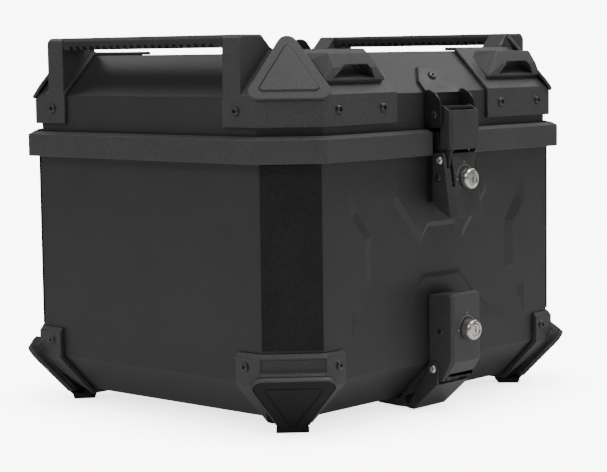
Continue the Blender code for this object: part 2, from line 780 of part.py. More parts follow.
def build_base_guards():
    out = BASE_GUARD_T
    low_offset = -SLOPE_RUN + FOLD_RATE * out
    nose_leg = leg_for(out, BASE_NOSE_SUM)
    guard = loft([
        ring(out - 3.0, BASE_GUARD_HIGH),
        ring(out, BASE_GUARD_HIGH - 4.0),
        ring(out, 59.5),
        ring(out, 53.5, nose_leg),
        ring(out, 50.5, nose_leg),
        ring(out, BASE_FOLD, leg_for(out, BASE_SUM_HIGH)),
        ring(low_offset, BASE_LOW, leg_for(low_offset, BASE_SUM_LOW)),
    ])
    inside = loft([
        ring(GAP, BASE_GUARD_HIGH + 5),
        ring(GAP, Z_TUB_FOLD - SEAT_SHIFT),
        ring(-SLOPE_RUN + SEAT_SHIFT, Z_FLOOR - GAP, 2.2),
    ])
    cut(guard, inside)
    keep(guard, box((OUTSIDE_X, BASE_GUARD_X), (OUTSIDE_Y, BASE_GUARD_Y), (0, 90)))
    drill(guard, BASE_SCREWS, 10, 2, [CORNERS["front_left"]])
    # seat for the foot
    cut(guard, facet_slab(BASE_FACET, foot_outline(-0.4, 8.4), 0.0, 12.0))
    place_corners(guard, "base_guard", "guard")


def build_feet():
    foot = facet_slab(BASE_FACET, foot_outline(0.0, 8.0), GAP, 3.6)
    # flat on the ground plane
    cut(foot, box((-260, 0), (-260, 0), (-30, 0.0)))
    fuse(foot, loft([
        [corner_point(sideways, total, z) for sideways, total in outline]
        for z, outline in FOOT_BLOCK
    ]))
    place_corners(foot, "foot", "rubber")


# ---------------------------------------------------------------- base plate under the tub
PLATE_X, PLATE_Y = (-100, 100), (-98, 112)
PLATE_Z = (0.4, Z_FLOOR - GAP)
CATCH_WINDOWS_Y = (-72, 66)
RECESS_Z = (3.0, 20)
# recesses in the plate's upper side: x span, y span
RECESSES = [((-82, -38), (-40, 48)), ((-30, 30), (-40, 44)), ((38, 82), (-40, 48))]
# stud and its washer on the floor: (z, radius)
PLATE_STUD = [
    (6.0, PIVOT_R), (Z_FLOOR + WALL + GAP, PIVOT_R),
    (Z_FLOOR + WALL + GAP, 8.5), (Z_FLOOR + WALL + 3.2, 8.5),
]


def build_base_plate():
    plate = box(PLATE_X, PLATE_Y, PLATE_Z)
    for y in CATCH_WINDOWS_Y:
        cut(plate, box((-30, 30), (y - 10, y + 10), (-2, 20)))
    cut(plate, [box(x_span, y_span, RECESS_Z) for x_span, y_span in RECESSES])
    # five-sided centre pad on the carrier
    fuse(plate, prism(circle((0, 0), 14.0, 5, 0.3), "z", 0.0, 2.0))
    for spot in PLATE_STUDS:
        fuse(plate, turned("z", spot, PLATE_STUD, 12))
    place(plate, "base_plate", "panel")


# ---------------------------------------------------------------- lid hinges
LEAF_HALF = 25            # half width of a leaf
KNUCKLE_HALF = 9.6        # half width of the tub leaf's middle knuckle
SLOT_HALF = KNUCKLE_HALF + GAP
KNUCKLE_R, HINGE_PIN_R = 5.0, 2.2
HINGE_BORE_R = HINGE_PIN_R + GAP
# cleared beside the middle knuckle: y span, z span
KNUCKLE_CLEARANCES = [((199.9, 215), (250, 270)), ((195, 215), (256.5, 270))]
# lid leaf: (y, z)
LID_LEAF_OUTLINE = [
    (186.3, 269.7), (200.8, 269.7), (199.6, 264.8), (206.0, 258.0), (209.0, 262.0),
    (208.2, 266.5), (205.0, 272.2), (188.8, 272.2), (188.8, 300.5), (186.3, 300.5),
]
# outer ends of the rivets: (y, radius)
TUB_RIVET_HEAD = [(201.3, 3.6), (199.0, 4.0), (198.5, STUD_R)]
LID_RIVET_HEAD = [(190.6, 3.6), (188.3, 4.0), (187.5, STUD_R)]
HINGE_PIN = [(26.8, 3.2), (25.3, 3.8), (25.3, HINGE_PIN_R)]


def knuckle(low, high):
    return cylinder("x", HINGE_CENTRE, KNUCKLE_R, low, high, 16)


def tub_leaf(middle):
    left, right = middle - LEAF_HALF, middle + LEAF_HALF
    leaf = box((left, right), (197.3, 199.8), (246, 262))
    fuse(leaf, knuckle(left, right))
    beside = ((middle - 30, middle - KNUCKLE_HALF), (middle + KNUCKLE_HALF, middle + 30))
    cut(leaf, [
        box(x_span, y_span, z_span)
        for y_span, z_span in KNUCKLE_CLEARANCES for x_span in beside
    ])
    cross_bore(leaf, HINGE_CENTRE, HINGE_BORE_R, middle=middle)
    fuse_studs(leaf, rivet_spots(middle, TUB_RIVET_Z), TUB_RIVET_HEAD + RIVET_TAIL)
    return leaf


def lid_leaf(middle):
    left, right = middle - LEAF_HALF, middle + LEAF_HALF
    slot_x = (middle - SLOT_HALF, middle + SLOT_HALF)
    slot = (slot_x, (195, 215), (250, 269.6))
    leaf = prism(LID_LEAF_OUTLINE, "x", left, right)
    cut(leaf, box(*slot))
    cut(leaf, box((middle - 30, middle + 30), (190, 215), (240, 258.0)))
    fuse(leaf, knuckle(left, slot_x[0]))
    fuse(leaf, knuckle(slot_x[1], right))
    # clear the slot of the knuckles too
    cut(leaf, box(*slot))
    cross_bore(leaf, HINGE_CENTRE, HINGE_BORE_R, middle=middle)
    fuse_studs(leaf, rivet_spots(middle, LID_RIVET_Z), LID_RIVET_HEAD + RIVET_TAIL)
    return leaf


def build_hinges():
    for side, label in SIDES:
        middle = side * HINGE_X
        place(tub_leaf(middle), f"hinge_tub_leaf_{label}", "black_metal", smooth=True)
        place(lid_leaf(middle), f"hinge_lid_leaf_{label}", "black_metal", "axis_lid", smooth=True)
        pin = headed_pin(HINGE_CENTRE, HINGE_PIN, 14, middle)
        place(pin, f"hinge_pin_{label}", "steel", smooth=True)


# ---------------------------------------------------------------- lid stays
STAY_T = 2.4
STAY_HALF = 7.5           # half width of the stay
STAY_SLOT_HALF = 3.2
STAY_OVERRUN = 1.0        # slot reaches this far past the pin at both ends
# pin and the flange round it: (|x|, radius)
STAY_PIN = [
    (208.7, PIVOT_R), (201.4, PIVOT_R), (201.4, 2.8), (197.8, 2.8), (197.8, 5.2), (195.8, 5.2),
]
STAY_PIN_FLANGE = [(206.6, 5.6), (201.2, 5.6)]


def stay_chord(degrees):
    """Distance between the stay pivots when they are this angle apart."""
    return 2 * STAY_R * math.sin(math.radians(degrees / 2))


def stay_outline(half, start, end, steps=6):
    """(y, z) of a round-ended strip from the lid pivot towards the tub pivot."""
    lid_y, lid_z = STAY_LID_POINT
    aim = Vector((STAY_TUB_POINT[0] - lid_y, STAY_TUB_POINT[1] - lid_z)).normalized()
    side = Vector((-aim.y, aim.x))
    outline = []
    for centre, first in ((start, math.pi / 2), (end, -math.pi / 2)):
        for k in range(steps + 1):
            angle = first + math.pi * k / steps
            along, out = centre + half * math.cos(angle), half * math.sin(angle)
            outline.append(
                (lid_y + aim.x * along + side.x * out, lid_z + aim.y * along + side.y * out)
            )
    return outline


def build_stays():
    closed_angle = STAY_LID_DEG - STAY_TUB_DEG
    slot_start = stay_chord(closed_angle) - STAY_OVERRUN
    slot_end = stay_chord(closed_angle + LID_OPEN) + STAY_OVERRUN
    for side, label in SIDES:
        low, high = side * STAY_X - STAY_T / 2, side * STAY_X + STAY_T / 2
        stay = prism(stay_outline(STAY_HALF, 0.0, slot_end), "x", low, high)
        slot = stay_outline(STAY_SLOT_HALF, slot_start, slot_end)
        cut(stay, prism(slot, "x", low - 2, high + 2))
        cut(stay, cylinder("x", STAY_LID_POINT, PIVOT_BORE_R, low - 2, high + 2, 14))
        place(stay, f"lid_stay_{label}", "steel", f"axis_stay_{label}", smooth=True)
        for name, point, axis in (
            ("stay_pin_lid", STAY_LID_POINT, "axis_lid"),
            ("stay_pin_tub", STAY_TUB_POINT, None),
        ):
            pin, flange = (
                turned("x", point, [(side * x, radius) for x, radius in profile], 14)
                for profile in (STAY_PIN, STAY_PIN_FLANGE)
            )
            fuse(pin, flange)
            place(pin, f"{name}_{label}", "steel", axis, smooth=True)


# ---------------------------------------------------------------- draw latch: bracket
BRACKET_IN, BRACKET_OUT = 19.8, 21.6   # |x| of the ears
# ear and catch: (y, z)
EAR_OUTLINE = [
    (-188.0, 200.0), (-196.0, 203.0), (-196.0, 231.0), (-199.8, 233.6), (-204.4, 233.7),
    (-207.3, 236.2), (-208.3, 239.7), (-206.8, 244.6), (-203.0, 247.0), (-199.4, 250.0),
    (-199.4, 266.0), (-189.4, 266.0), (-189.4, 244.0), (-188.0, 244.0),
]
CATCH_OUTLINE = [
    (-188.0, 203.0), (-200.6, 203.0), (-200.6, 211.6),
    (-198.8, 211.6), (-198.8, 205.0), (-188.0, 205.0),
]
LATCH_STUD_HEAD = [(-190.4, 3.4), (-188.7, 4.0), (-187.5, STUD_R)]


def build_latch_bracket():
    bracket = box((-BRACKET_OUT, BRACKET_OUT), (-188.8, FRONT_SEAT), (200.0, 244.0))
    for side, _ in SIDES:
        fuse(bracket, prism(EAR_OUTLINE, "x", side * BRACKET_IN, side * BRACKET_OUT))
    fuse(bracket, prism(CATCH_OUTLINE, "x", -9, 9))
    cross_bore(bracket, LEVER_CENTRE, PIVOT_BORE_R)
    fuse_studs(bracket, LATCH_STUDS, LATCH_STUD_HEAD + STUD_TAIL)
    place(bracket, "latch_base_bracket", "black_metal")


# ---------------------------------------------------------------- draw latch: lever
LEVER_IN, LEVER_OUT = 22.2, 24.2       # |x| of the cheeks
LEVER_LOW, LEVER_HIGH = 187.0, 246.5
LEVER_FACE = (-210.7, 249.0)           # (y, z) on the front face
LEVER_LEAN = 9.0 / 65.0                # the face leans outwards going down
# channel sections: (|x|, depth behind the face)
LEVER_OUTSIDE = [(18.0, 0.0), (LEVER_OUT, 5.0), (LEVER_OUT, 7.0)]
LEVER_INSIDE = [(17.0, 2.2), (LEVER_IN, 6.2), (LEVER_IN, 14.0)]
HOOK_PIN_R = 2.6


def lever_face_y(z, depth=0.0):
    return LEVER_FACE[0] - (LEVER_FACE[1] - z) * LEVER_LEAN + depth


def lever_hull(section, low, high):
    return hull([
        (side * half, lever_face_y(z, depth), z)
        for half, depth in section for z in (low, high) for side in (-1, 1)
    ])


LEVER_CHEEK_OUTLINE = [   # (y, z)
    (-193.6, 204.0), (-196.0, 198.0), (-202.0, 193.0),
    (lever_face_y(LEVER_LOW, 6.5), LEVER_LOW), (lever_face_y(LEVER_HIGH, 6.5), LEVER_HIGH),
    (-197.0, LEVER_HIGH), (-193.6, 243.0),
]


def build_latch_lever():
    lever = lever_hull(LEVER_OUTSIDE, LEVER_LOW, LEVER_HIGH)
    cut(lever, lever_hull(LEVER_INSIDE, 170.0, 260.0))
    for side, _ in SIDES:
        # slot for the hook arm, wider above so that the edge clears the bracket's ear
        cut(lever, box(span(side, 16.8, 19.6), (-230.0, -190.0), (215.5, 260.0)))
        cut(lever, box(span(side, 16.8, 22.1), (-230.0, -190.0), (232.5, 260.0)))
    for side, _ in SIDES:
        fuse(lever, prism(LEVER_CHEEK_OUTLINE, "x", side * LEVER_IN, side * LEVER_OUT))
    cross_bore(lever, LEVER_CENTRE, PIVOT_BORE_R)
    cross_bore(lever, HOOK_CENTRE, HOOK_PIN_R + GAP, 14)
    cut(lever, cylinder("y", (0, LOCK_Z), BARREL_R + GAP, -230, -200, 24))
    place(lever, "latch_lever", "black_metal", "axis_lever")


# ---------------------------------------------------------------- draw latch: hook
HOOK_IN, HOOK_OUT = 20.1, 21.9         # |x| of the side walls
ARM_IN, ARM_OUT = 17.2, 19.2           # |x| of the arms
CLAW_HALF = 20.9
COVER_OUTLINE = [   # (x, y)
    (-HOOK_OUT, -201.2), (-HOOK_OUT, -211.9), (-19.2, -214.7),
    (19.2, -214.7), (HOOK_OUT, -211.9), (HOOK_OUT, -201.2),
    (HOOK_IN, -201.2), (HOOK_IN, -211.2), (18.5, -212.9),
    (-18.5, -212.9), (-HOOK_IN, -211.2), (-HOOK_IN, -201.2),
]
# side wall, arm and claw: (y, z)
HOOK_WALL_OUTLINE = [
    (-211.0, 280.0), (-211.0, 286.6), (-203.6, 291.0), (-201.2, 291.0), (-201.2, 280.0),
]
ARM_OUTLINE = [
    (-214.0, 250.2), (-213.6, 256.0), (-206.0, 256.0), (-205.9, 244.0), (-205.9, 236.0),
    (-200.6, 229.2), (-196.3, 227.6), (-194.9, 223.7), (-196.6, 219.7), (-200.5, 218.2),
    (-204.6, 219.8), (-206.4, 223.2), (-210.2, 236.0), (-211.4, 246.0),
]
CLAW_OUTLINE = [
    (-206.6, 287.2), (-206.6, 289.8), (-190.9, 289.8), (-189.7, 288.0),
    (-189.7, 283.2), (-191.2, 283.2), (-191.2, 285.0), (-193.0, 287.2),
]
LATCH_BOLT = [(26.4, 3.0), (25.8, 3.9), (24.5, 3.9), (24.5, PIVOT_R)]


def build_latch_hook():
    """Cover plate, side walls, claw over the striker pin, arms down to the hook pivot."""
    hook = prism(COVER_OUTLINE, "z", 249.8, 286.5)
    for side, _ in SIDES:
        fuse(hook, prism(HOOK_WALL_OUTLINE, "x", side * HOOK_IN, side * HOOK_OUT))
        fuse(hook, prism(ARM_OUTLINE, "x", side * ARM_IN, side * ARM_OUT))
        # block between the arm and the cover, then the pivot pin
        fuse(hook, box(span(side, ARM_IN, 20.9), (-213.8, -206.0), (251.0, 256.0)))
        fuse(hook, cylinder("x", HOOK_CENTRE, HOOK_PIN_R, side * 17.5, side * 25.2, 14))
    fuse(hook, prism(CLAW_OUTLINE, "x", -CLAW_HALF, CLAW_HALF))
    place(hook, "latch_hook", "black_metal", "axis_hook")


def build_latch_bolt():
    bolt = headed_pin(LEVER_CENTRE, LATCH_BOLT, 16)
    place(bolt, "latch_pivot_bolt", "chrome", smooth=True)


# ---------------------------------------------------------------- striker on the lid
STRIKER_IN, STRIKER_OUT = 24.8, 26.8   # |x| of the cheeks
STRIKER_LOW = 270.0
STRIKER_PIN_CENTRE = (-198.0, 282.0)   # (y, z)
STRIKER_PIN_R = 2.5
TONGUE_T = 2.3                         # thickness on the slope
TONGUE_OUTLINE = [   # (x, z) on the front slope
    (-STRIKER_OUT, 302.4), (STRIKER_OUT, 302.4), (25.0, 313.5),
    (-25.0, 313.5), (10.5, 326.0), (-10.5, 326.0),
]
STRIKER_CHEEK_OUTLINE = [   # (y, z)
    (-188.0, STRIKER_LOW), (-202.0, STRIKER_LOW), (-205.6, 273.5), (-206.2, 288.0),
    (-204.4, 296.0), (-199.5, 302.0), (-192.0, 305.6), (-188.0, 305.0),
]
STRIKER_STUD_HEAD = [(-189.0, 3.2), (-187.5, STUD_R)]
STRIKER_PIN = [(28.6, 2.8), (27.8, 3.6), (27.1, 3.6), (27.1, STRIKER_PIN_R)]


def build_striker():
    striker = box((-STRIKER_OUT, STRIKER_OUT), (-188.8, FRONT_SEAT), (STRIKER_LOW, 303.2))
    under = GAP * ROOT2
    fuse(striker, hull([
        (x, -HALF_DEPTH - height + (z - Z_LID_FOLD), z)
        for x, z in TONGUE_OUTLINE
        for height in (under, under + TONGUE_T * ROOT2)
    ]))
    for side, _ in SIDES:
        cheek = prism(STRIKER_CHEEK_OUTLINE, "x", side * STRIKER_IN, side * STRIKER_OUT)
        fuse(striker, cheek)
    # keep the bend clear of the lid
    cut(striker, lid_envelope(GAP * 0.98, Z_LID_LOW - 3, LID_LEG, 5.0))
    cross_bore(striker, STRIKER_PIN_CENTRE, STRIKER_PIN_R + GAP)
    cut(striker, slope_cylinder(SLOPE_HOLE_R, -12, 12))
    fuse_studs(striker, STRIKER_STUDS, STRIKER_STUD_HEAD + STUD_TAIL)
    place(striker, "striker_bracket", "black_metal", "axis_lid")


def build_striker_pin_and_screw():
    pin = headed_pin(STRIKER_PIN_CENTRE, STRIKER_PIN, 16)
    place(pin, "striker_pin", "screw", "axis_lid", smooth=True)

    # head, shank, hexagonal nut inside the lid
    screw = slope_cylinder(4.4, GAP + 0.35, GAP + 2.3, 16)
    fuse(screw, slope_cylinder(2.5, -7.6, GAP + 1.5))
    fuse(screw, slope_cylinder(5.4, -9.6, -7.2, 6))
    place(screw, "striker_screw", "screw", "axis_lid", smooth=True)


# ---------------------------------------------------------------- locks
RIM_R = 10.2              # barrel rim
BARREL_BORE_R = 6.3
PLUG_R, PLUG_TAIL_R = 5.9, 4.0


def lock_barrel(z, front, seat, back):
    """Tube along Y with a rim between front and seat."""
    tube = turned("y", (0, z), [
        (front, 9.4), (front + 0.8, RIM_R), (seat - 0.6, RIM_R),
        (seat - 0.6, BARREL_R), (back, BARREL_R),
    ], 24)
    cut(tube, cylinder("y", (0, z), BARREL_BORE_R, front - 5, back + 5, 20))
    return tube


def lock_plug(z, front, back, cam_front, cam_back, cam_length):
    """Plug along Y with its key slot and a cam towards +X."""
    plug = turned("y", (0, z), [
        (front + 0.5, 5.5), (front + 1.0, PLUG_R), (back, PLUG_R),
        (back, PLUG_TAIL_R), (cam_back, PLUG_TAIL_R),
    ], 20)
    cut(plug, box((-0.7, 0.7), (front - 3, front + 8), (z - 3.4, z + 3.4)))
    fuse(plug, prism([
        (0, z - 5), (cam_length - 1.5, z - 4), (cam_length, z - 2.5),
        (cam_length, z + 2.5), (cam_length - 1.5, z + 4), (0, z + 5),
    ], "y", cam_front, cam_back))
    return plug


def build_latch_lock():
    barrel = lock_barrel(LOCK_Z, front=-223.2, seat=-215.6, back=-203.5)
    place(barrel, "latch_lock_barrel", "chrome", "axis_lever", smooth=True)
    plug = lock_plug(
        LOCK_Z, front=-223.2, back=-203.2, cam_front=-198.1, cam_back=-195.9, cam_length=15.5
    )
    place(plug, "latch_lock_plug", "chrome", "axis_latch_plug", smooth=True)


def build_base_lock():
    barrel = lock_barrel(BASE_LOCK_Z, front=-225.5, seat=-215.3, back=-201.0)
    place(barrel, "base_lock_barrel", "chrome", smooth=True)
    plug = lock_plug(
        BASE_LOCK_Z, front=-225.5, back=-200.7, cam_front=-199.6, cam_back=-197.2, cam_length=15.0
    )
    place(plug, "base_lock_plug", "chrome", "axis_base_plug", smooth=True)


# ---------------------------------------------------------------- lower lock housing
HOUSING_HALF = 22.0
# hulls of the outside and the room inside: |x|, then (y, z) outline
HOUSING_OUTSIDE = [
    (HOUSING_HALF, [
        (-186.3, 112.0), (-207.5, 114.0), (-212.3, 112.0),
        (-212.3, 52.0), (-201.8, 31.5), (-186.3, 31.5),
    ]),
    (19.4, [(-210.0, 115.5), (-215.0, 113.0), (-215.0, 50.0), (-203.5, 31.5)]),
]
HOUSING_ROOM = [
    (19.5, [
        (-180.0, 109.0), (-207.5, 111.0), (-209.6, 109.0), (-209.6, 53.0),
        (-199.6, 32.0), (-199.0, 20.0), (-180.0, 20.0),
    ]),
    (17.6, [(-212.5, 111.0), (-212.5, 51.0), (-201.2, 32.0), (-200.6, 20.0)]),
]
# side wall run along the tub's slope: (y, z)
HOUSING_WALL_OUTLINE = [
    (-186.4, 48.2), (-149.0, 10.7), (-124.0, 10.5), (-122.0, 8.0), (-123.5, 3.0), (-150.0, 2.0),
    (-154.8, 4.0), (-155.8, 12.4), (-172.0, 21.0), (-193.0, 32.2), (-193.0, 36.0), (-186.4, 51.0),
]


def build_base_lock_housing():
    housing, room = (
        hull([point for half, outline in parts for point in across(half, outline)])
        for parts in (HOUSING_OUTSIDE, HOUSING_ROOM)
    )
    cut(housing, room)
    cross_bore(housing, RELEASE_CENTRE, PIVOT_BORE_R)
    cut(housing, cylinder("y", (0, BASE_LOCK_Z), BARREL_R + GAP, -230, -206, 24))
    # top flange with its two studs into the tub wall
    fuse(housing, box((-19.9, 19.9), (-189.0, FRONT_SEAT), (100.0, 112.6)))
    fuse_studs(housing, HOUSING_STUDS, [(-188.6, STUD_R)] + STUD_TAIL)
    # side walls run on along the tub's slope and under its floor
    for side, _ in SIDES:
        fuse(housing, prism(HOUSING_WALL_OUTLINE, "x", side * 19.6, side * HOUSING_HALF))
    # bore the added walls as well
    cross_bore(housing, RELEASE_CENTRE, PIVOT_BORE_R)
    place(housing, "base_lock_housing", "guard")


# ---------------------------------------------------------------- release lever
RELEASE_IN, RELEASE_OUT = 22.4, 24.6   # |x| of the cheeks
# all outlines (y, z)
RELEASE_PLATE = [(-198.5, 28.5), (-168.5, 1.6), (-167.0, 3.2), (-197.0, 30.1)]
RELEASE_CHEEK = [
    (-200.0, 43.0), (-198.6, 36.0), (-198.3, 28.8), (-168.7, 2.0), (-162.4, 2.2),
    (-162.0, 4.5), (-167.2, 13.0), (-173.0, 22.5), (-178.0, 30.5), (-184.6, 38.0),
    (-186.4, 44.0), (-188.6, 48.2), (-193.0, 50.0), (-197.6, 48.2),
]
RELEASE_HUB = [
    (-197.6, 28.6), (-197.4, 37.0), (-197.4, 49.0), (-196.4, 70.0),
    (-192.6, 70.0), (-189.2, 48.0), (-189.2, 37.0), (-189.6, 22.4),
]
CARRIER_HOOK = [
    (-178.0, 11.2), (-172.0, 14.0), (-167.5, 12.5), (-166.0, 9.5),
    (-168.0, 8.0), (-171.0, 9.8), (-172.5, 6.4), (-175.0, 8.2),
]
RELEASE_BOLT = [(27.0, 3.1), (26.4, 4.0), (24.9, 4.0), (24.9, PIVOT_R)]


def build_release_lever():
    release = prism(RELEASE_PLATE, "x", -RELEASE_OUT, RELEASE_OUT)
    for side, _ in SIDES:
        fuse(release, prism(RELEASE_CHEEK, "x", side * RELEASE_IN, side * RELEASE_OUT))
    fuse(release, prism(RELEASE_HUB, "x", -9, 9))
    # hook that grips the carrier's bar
    fuse(release, prism(CARRIER_HOOK, "x", -7, 7))
    cross_bore(release, RELEASE_CENTRE, PIVOT_BORE_R)
    place(release, "release_lever", "black_metal", "axis_release")

    bolt = headed_pin(RELEASE_CENTRE, RELEASE_BOLT, 16)
    place(bolt, "release_pivot_bolt", "chrome", smooth=True)


# ---------------------------------------------------------------- build
build_axes()

build_tub()
build_rim()
build_corner_panels()
build_floor_mat()

build_lid()
build_lid_liner()
build_lid_guards()
build_lid_bumpers()
build_guard_screws()
build_handle_bars()

build_base_guards()
build_feet()
build_base_plate()

build_hinges()
build_stays()

build_latch_bracket()
build_latch_lever()
build_latch_hook()
build_latch_bolt()
build_striker()
build_striker_pin_and_screw()
build_latch_lock()

build_base_lock_housing()
build_base_lock()
build_release_lever()

# meshes left over from the boolean tools
for mesh in list(bpy.data.meshes):
    if mesh.users == 0:
        bpy.data.meshes.remove(mesh)
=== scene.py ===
"""Looks for the motorcycle top case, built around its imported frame.

The case stands upright, Z up: the lock face is the front at -Y, the hinges are at +Y and
left is -X. Pieces are modelled in millimetres and turned to metres when shown.
Pieces that repeat are modelled at the left or the front left and mirrored.
"""

import json
import math

import bmesh
import bpy
from mathutils import Matrix, Vector


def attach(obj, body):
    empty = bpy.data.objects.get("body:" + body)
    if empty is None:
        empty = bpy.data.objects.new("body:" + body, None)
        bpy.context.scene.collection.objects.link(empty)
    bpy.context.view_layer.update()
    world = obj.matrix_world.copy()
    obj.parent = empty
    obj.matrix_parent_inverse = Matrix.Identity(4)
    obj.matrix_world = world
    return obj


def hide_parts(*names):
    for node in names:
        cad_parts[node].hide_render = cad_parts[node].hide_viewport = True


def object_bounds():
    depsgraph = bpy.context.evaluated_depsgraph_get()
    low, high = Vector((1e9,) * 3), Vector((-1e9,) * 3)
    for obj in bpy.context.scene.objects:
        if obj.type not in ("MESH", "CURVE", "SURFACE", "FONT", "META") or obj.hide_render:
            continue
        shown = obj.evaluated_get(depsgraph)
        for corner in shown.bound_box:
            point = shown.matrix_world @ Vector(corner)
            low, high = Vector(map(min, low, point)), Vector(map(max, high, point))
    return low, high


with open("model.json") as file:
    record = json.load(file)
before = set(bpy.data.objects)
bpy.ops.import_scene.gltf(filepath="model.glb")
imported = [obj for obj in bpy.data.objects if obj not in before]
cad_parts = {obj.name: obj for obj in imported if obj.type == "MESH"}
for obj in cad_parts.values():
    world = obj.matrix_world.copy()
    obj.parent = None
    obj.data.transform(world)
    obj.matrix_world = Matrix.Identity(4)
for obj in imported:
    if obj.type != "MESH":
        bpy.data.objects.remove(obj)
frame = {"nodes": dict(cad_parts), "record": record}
size_lo, size_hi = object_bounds()

RECORD = frame["record"]
BODIES = RECORD["behaviour"]["bodies"]
BODY_OF = {node: body for body, nodes in BODIES.items() for node in nodes}
SLOT_OF = {part["node"]: part["material_slot"] for part in RECORD["subparts"]}

METRES_PER_MM = 0.001
ROOT2 = math.sqrt(2)

# Tub: half sizes, and how far each chamfered corner reaches along either wall
HALF_WIDTH = 210.0
HALF_DEPTH = 186.0
CORNER_LEG = 39.0
CORNER_SUM = HALF_WIDTH + HALF_DEPTH - CORNER_LEG   # |x| + |y| on the corner chamfer
FACET_DROP = 39.0 / 38.0                            # |x| + |y| lost per mm along a facet
FACET_TILT = math.atan2(ROOT2, FACET_DROP)

# Mirror signs that carry a piece modelled at the (front) left to its place
SIDES = {"left": 1, "right": -1}
CORNERS = {
    "front_left": (1, 1),
    "front_right": (-1, 1),
    "rear_left": (1, -1),
    "rear_right": (-1, -1),
}


# ---------------------------------------------------------------- shader nodes
def feed(node, inputs):
    """Gives each input a value, or a link from another node's output."""
    for key, value in inputs.items():
        if isinstance(value, bpy.types.NodeSocket):
            node.id_data.links.new(value, node.inputs[key])
        else:
            node.inputs[key].default_value = value


def add_node(tree, kind, inputs=None, **settings):
    node = tree.nodes.new(f"ShaderNode{kind}")
    for key, value in settings.items():
        setattr(node, key, value)
    feed(node, inputs or {})
    return node


def new_material(name):
    material = bpy.data.materials.new(name)
    material.use_nodes = True
    tree = material.node_tree
    vector = add_node(tree, "TexCoord").outputs["Object"]
    return material, tree, tree.nodes["Principled BSDF"], vector


def noise(tree, vector, scale, detail=2.0, rough=0.5):
    inputs = {"Scale": scale, "Detail": detail, "Roughness": rough, "Vector": vector}
    return add_node(tree, "TexNoise", inputs).outputs["Fac"]


def remap(tree, value, source, target=(0.0, 1.0)):
    """Maps the source range of value onto the target range."""
    return add_node(tree, "MapRange", {
        "From Min": source[0], "From Max": source[1],
        "To Min": target[0], "To Max": target[1],
        "Value": value,
    }).outputs["Result"]


def mix_colours(tree, factor, dark, light):
    inputs = {6: (*dark, 1), 7: (*light, 1), "Factor": factor}
    return add_node(tree, "Mix", inputs, data_type="RGBA").outputs[2]


def bump(tree, height, strength, distance, under=None):
    """Bump normal, distance in metres, laid over the normal under it."""
    inputs = {"Strength": strength, "Distance": distance, "Height": height}
    if under is not None:
        inputs["Normal"] = under
    return add_node(tree, "Bump", inputs).outputs["Normal"]


# ---------------------------------------------------------------- materials
def moulded(name, dark, light, rough, grain, depth, strength=0.5, spec=0.5):
    """Grained moulded plastic: fine cellular grain, faint large mottling."""
    material, tree, bsdf, vector = new_material(name)
    mottle = noise(tree, vector, scale=22.0, detail=3.0)
    fine = noise(tree, vector, scale=grain, rough=0.6)
    middle = noise(tree, vector, scale=grain * 0.38)
    speck = noise(tree, vector, scale=grain * 0.62, detail=1.0)
    mottled = mix_colours(tree, remap(tree, mottle, source=(0.3, 0.7)), dark, light)
    contrast = 0.22 * strength
    specks = remap(tree, speck, source=(0.35, 0.65), target=(1.0 - contrast, 1.0 + contrast))
    tint = add_node(tree, "VectorMath", {0: mottled, "Scale": specks}, operation="SCALE")
    under = bump(tree, middle, strength=strength * 0.6, distance=depth * 1.6)
    feed(bsdf, {
        "Base Color": tint.outputs[0],
        "Roughness": remap(tree, fine, source=(0.3, 0.7), target=(rough - 0.06, rough + 0.06)),
        "Specular IOR Level": spec,
        "Normal": bump(tree, fine, strength=strength, distance=depth, under=under),
    })
    return material


def coated(name, colour, rough, spec=0.5, coat=0.0):
    """Powder coat over metal: slight orange peel."""
    material, tree, bsdf, vector = new_material(name)
    peel = noise(tree, vector, scale=900.0)
    wear = noise(tree, vector, scale=60.0, detail=4.0)
    worn = tuple(channel * 1.35 for channel in colour)
    feed(bsdf, {
        "Base Color": mix_colours(tree, remap(tree, wear, source=(0.3, 0.75)), colour, worn),
        "Roughness": remap(tree, wear, source=(0.3, 0.7), target=(rough - 0.04, rough + 0.07)),
        "Specular IOR Level": spec,
        "Coat Weight": coat,
        "Coat Roughness": 0.25,
        "Normal": bump(tree, peel, strength=0.25, distance=0.00004),
    })
    return material


def polished(name, colour, rough, brushed=0.0):
    material, tree, bsdf, vector = new_material(name)
    stretch = (1.0, 1.0, 30.0) if brushed else (1.0, 1.0, 1.0)
    mapping = add_node(tree, "Mapping", {"Scale": stretch, "Vector": vector})
    grain_scale = 240.0 if brushed else 90.0
    grain = noise(tree, mapping.outputs["Vector"], scale=grain_scale, detail=3.0)
    dull = tuple(channel * 0.9 for channel in colour)
    feed(bsdf, {
        "Metallic": 1.0,
        "Base Color": mix_colours(tree, grain, dull, colour),
        "Roughness": remap(tree, grain, source=(0.25, 0.75), target=(rough * 0.75, rough * 1.35)),
        "Normal": bump(tree, grain, strength=0.05 + brushed * 0.2, distance=0.00003),
    })
    return material


def felt(name, dark, light):
    material, tree, bsdf, vector = new_material(name)
    fibres = noise(tree, vector, scale=700.0, detail=8.0, rough=0.75)
    clumps = noise(tree, vector, scale=90.0, detail=4.0)
    under = bump(tree, clumps, strength=0.3, distance=0.0004)
    feed(bsdf, {
        "Base Color": mix_colours(tree, remap(tree, fibres, source=(0.3, 0.7)), dark, light),
        "Roughness": 0.95,
        "Sheen Weight": 0.3,
        "Normal": bump(tree, fibres, strength=0.8, distance=0.0004, under=under),
    })
    return material


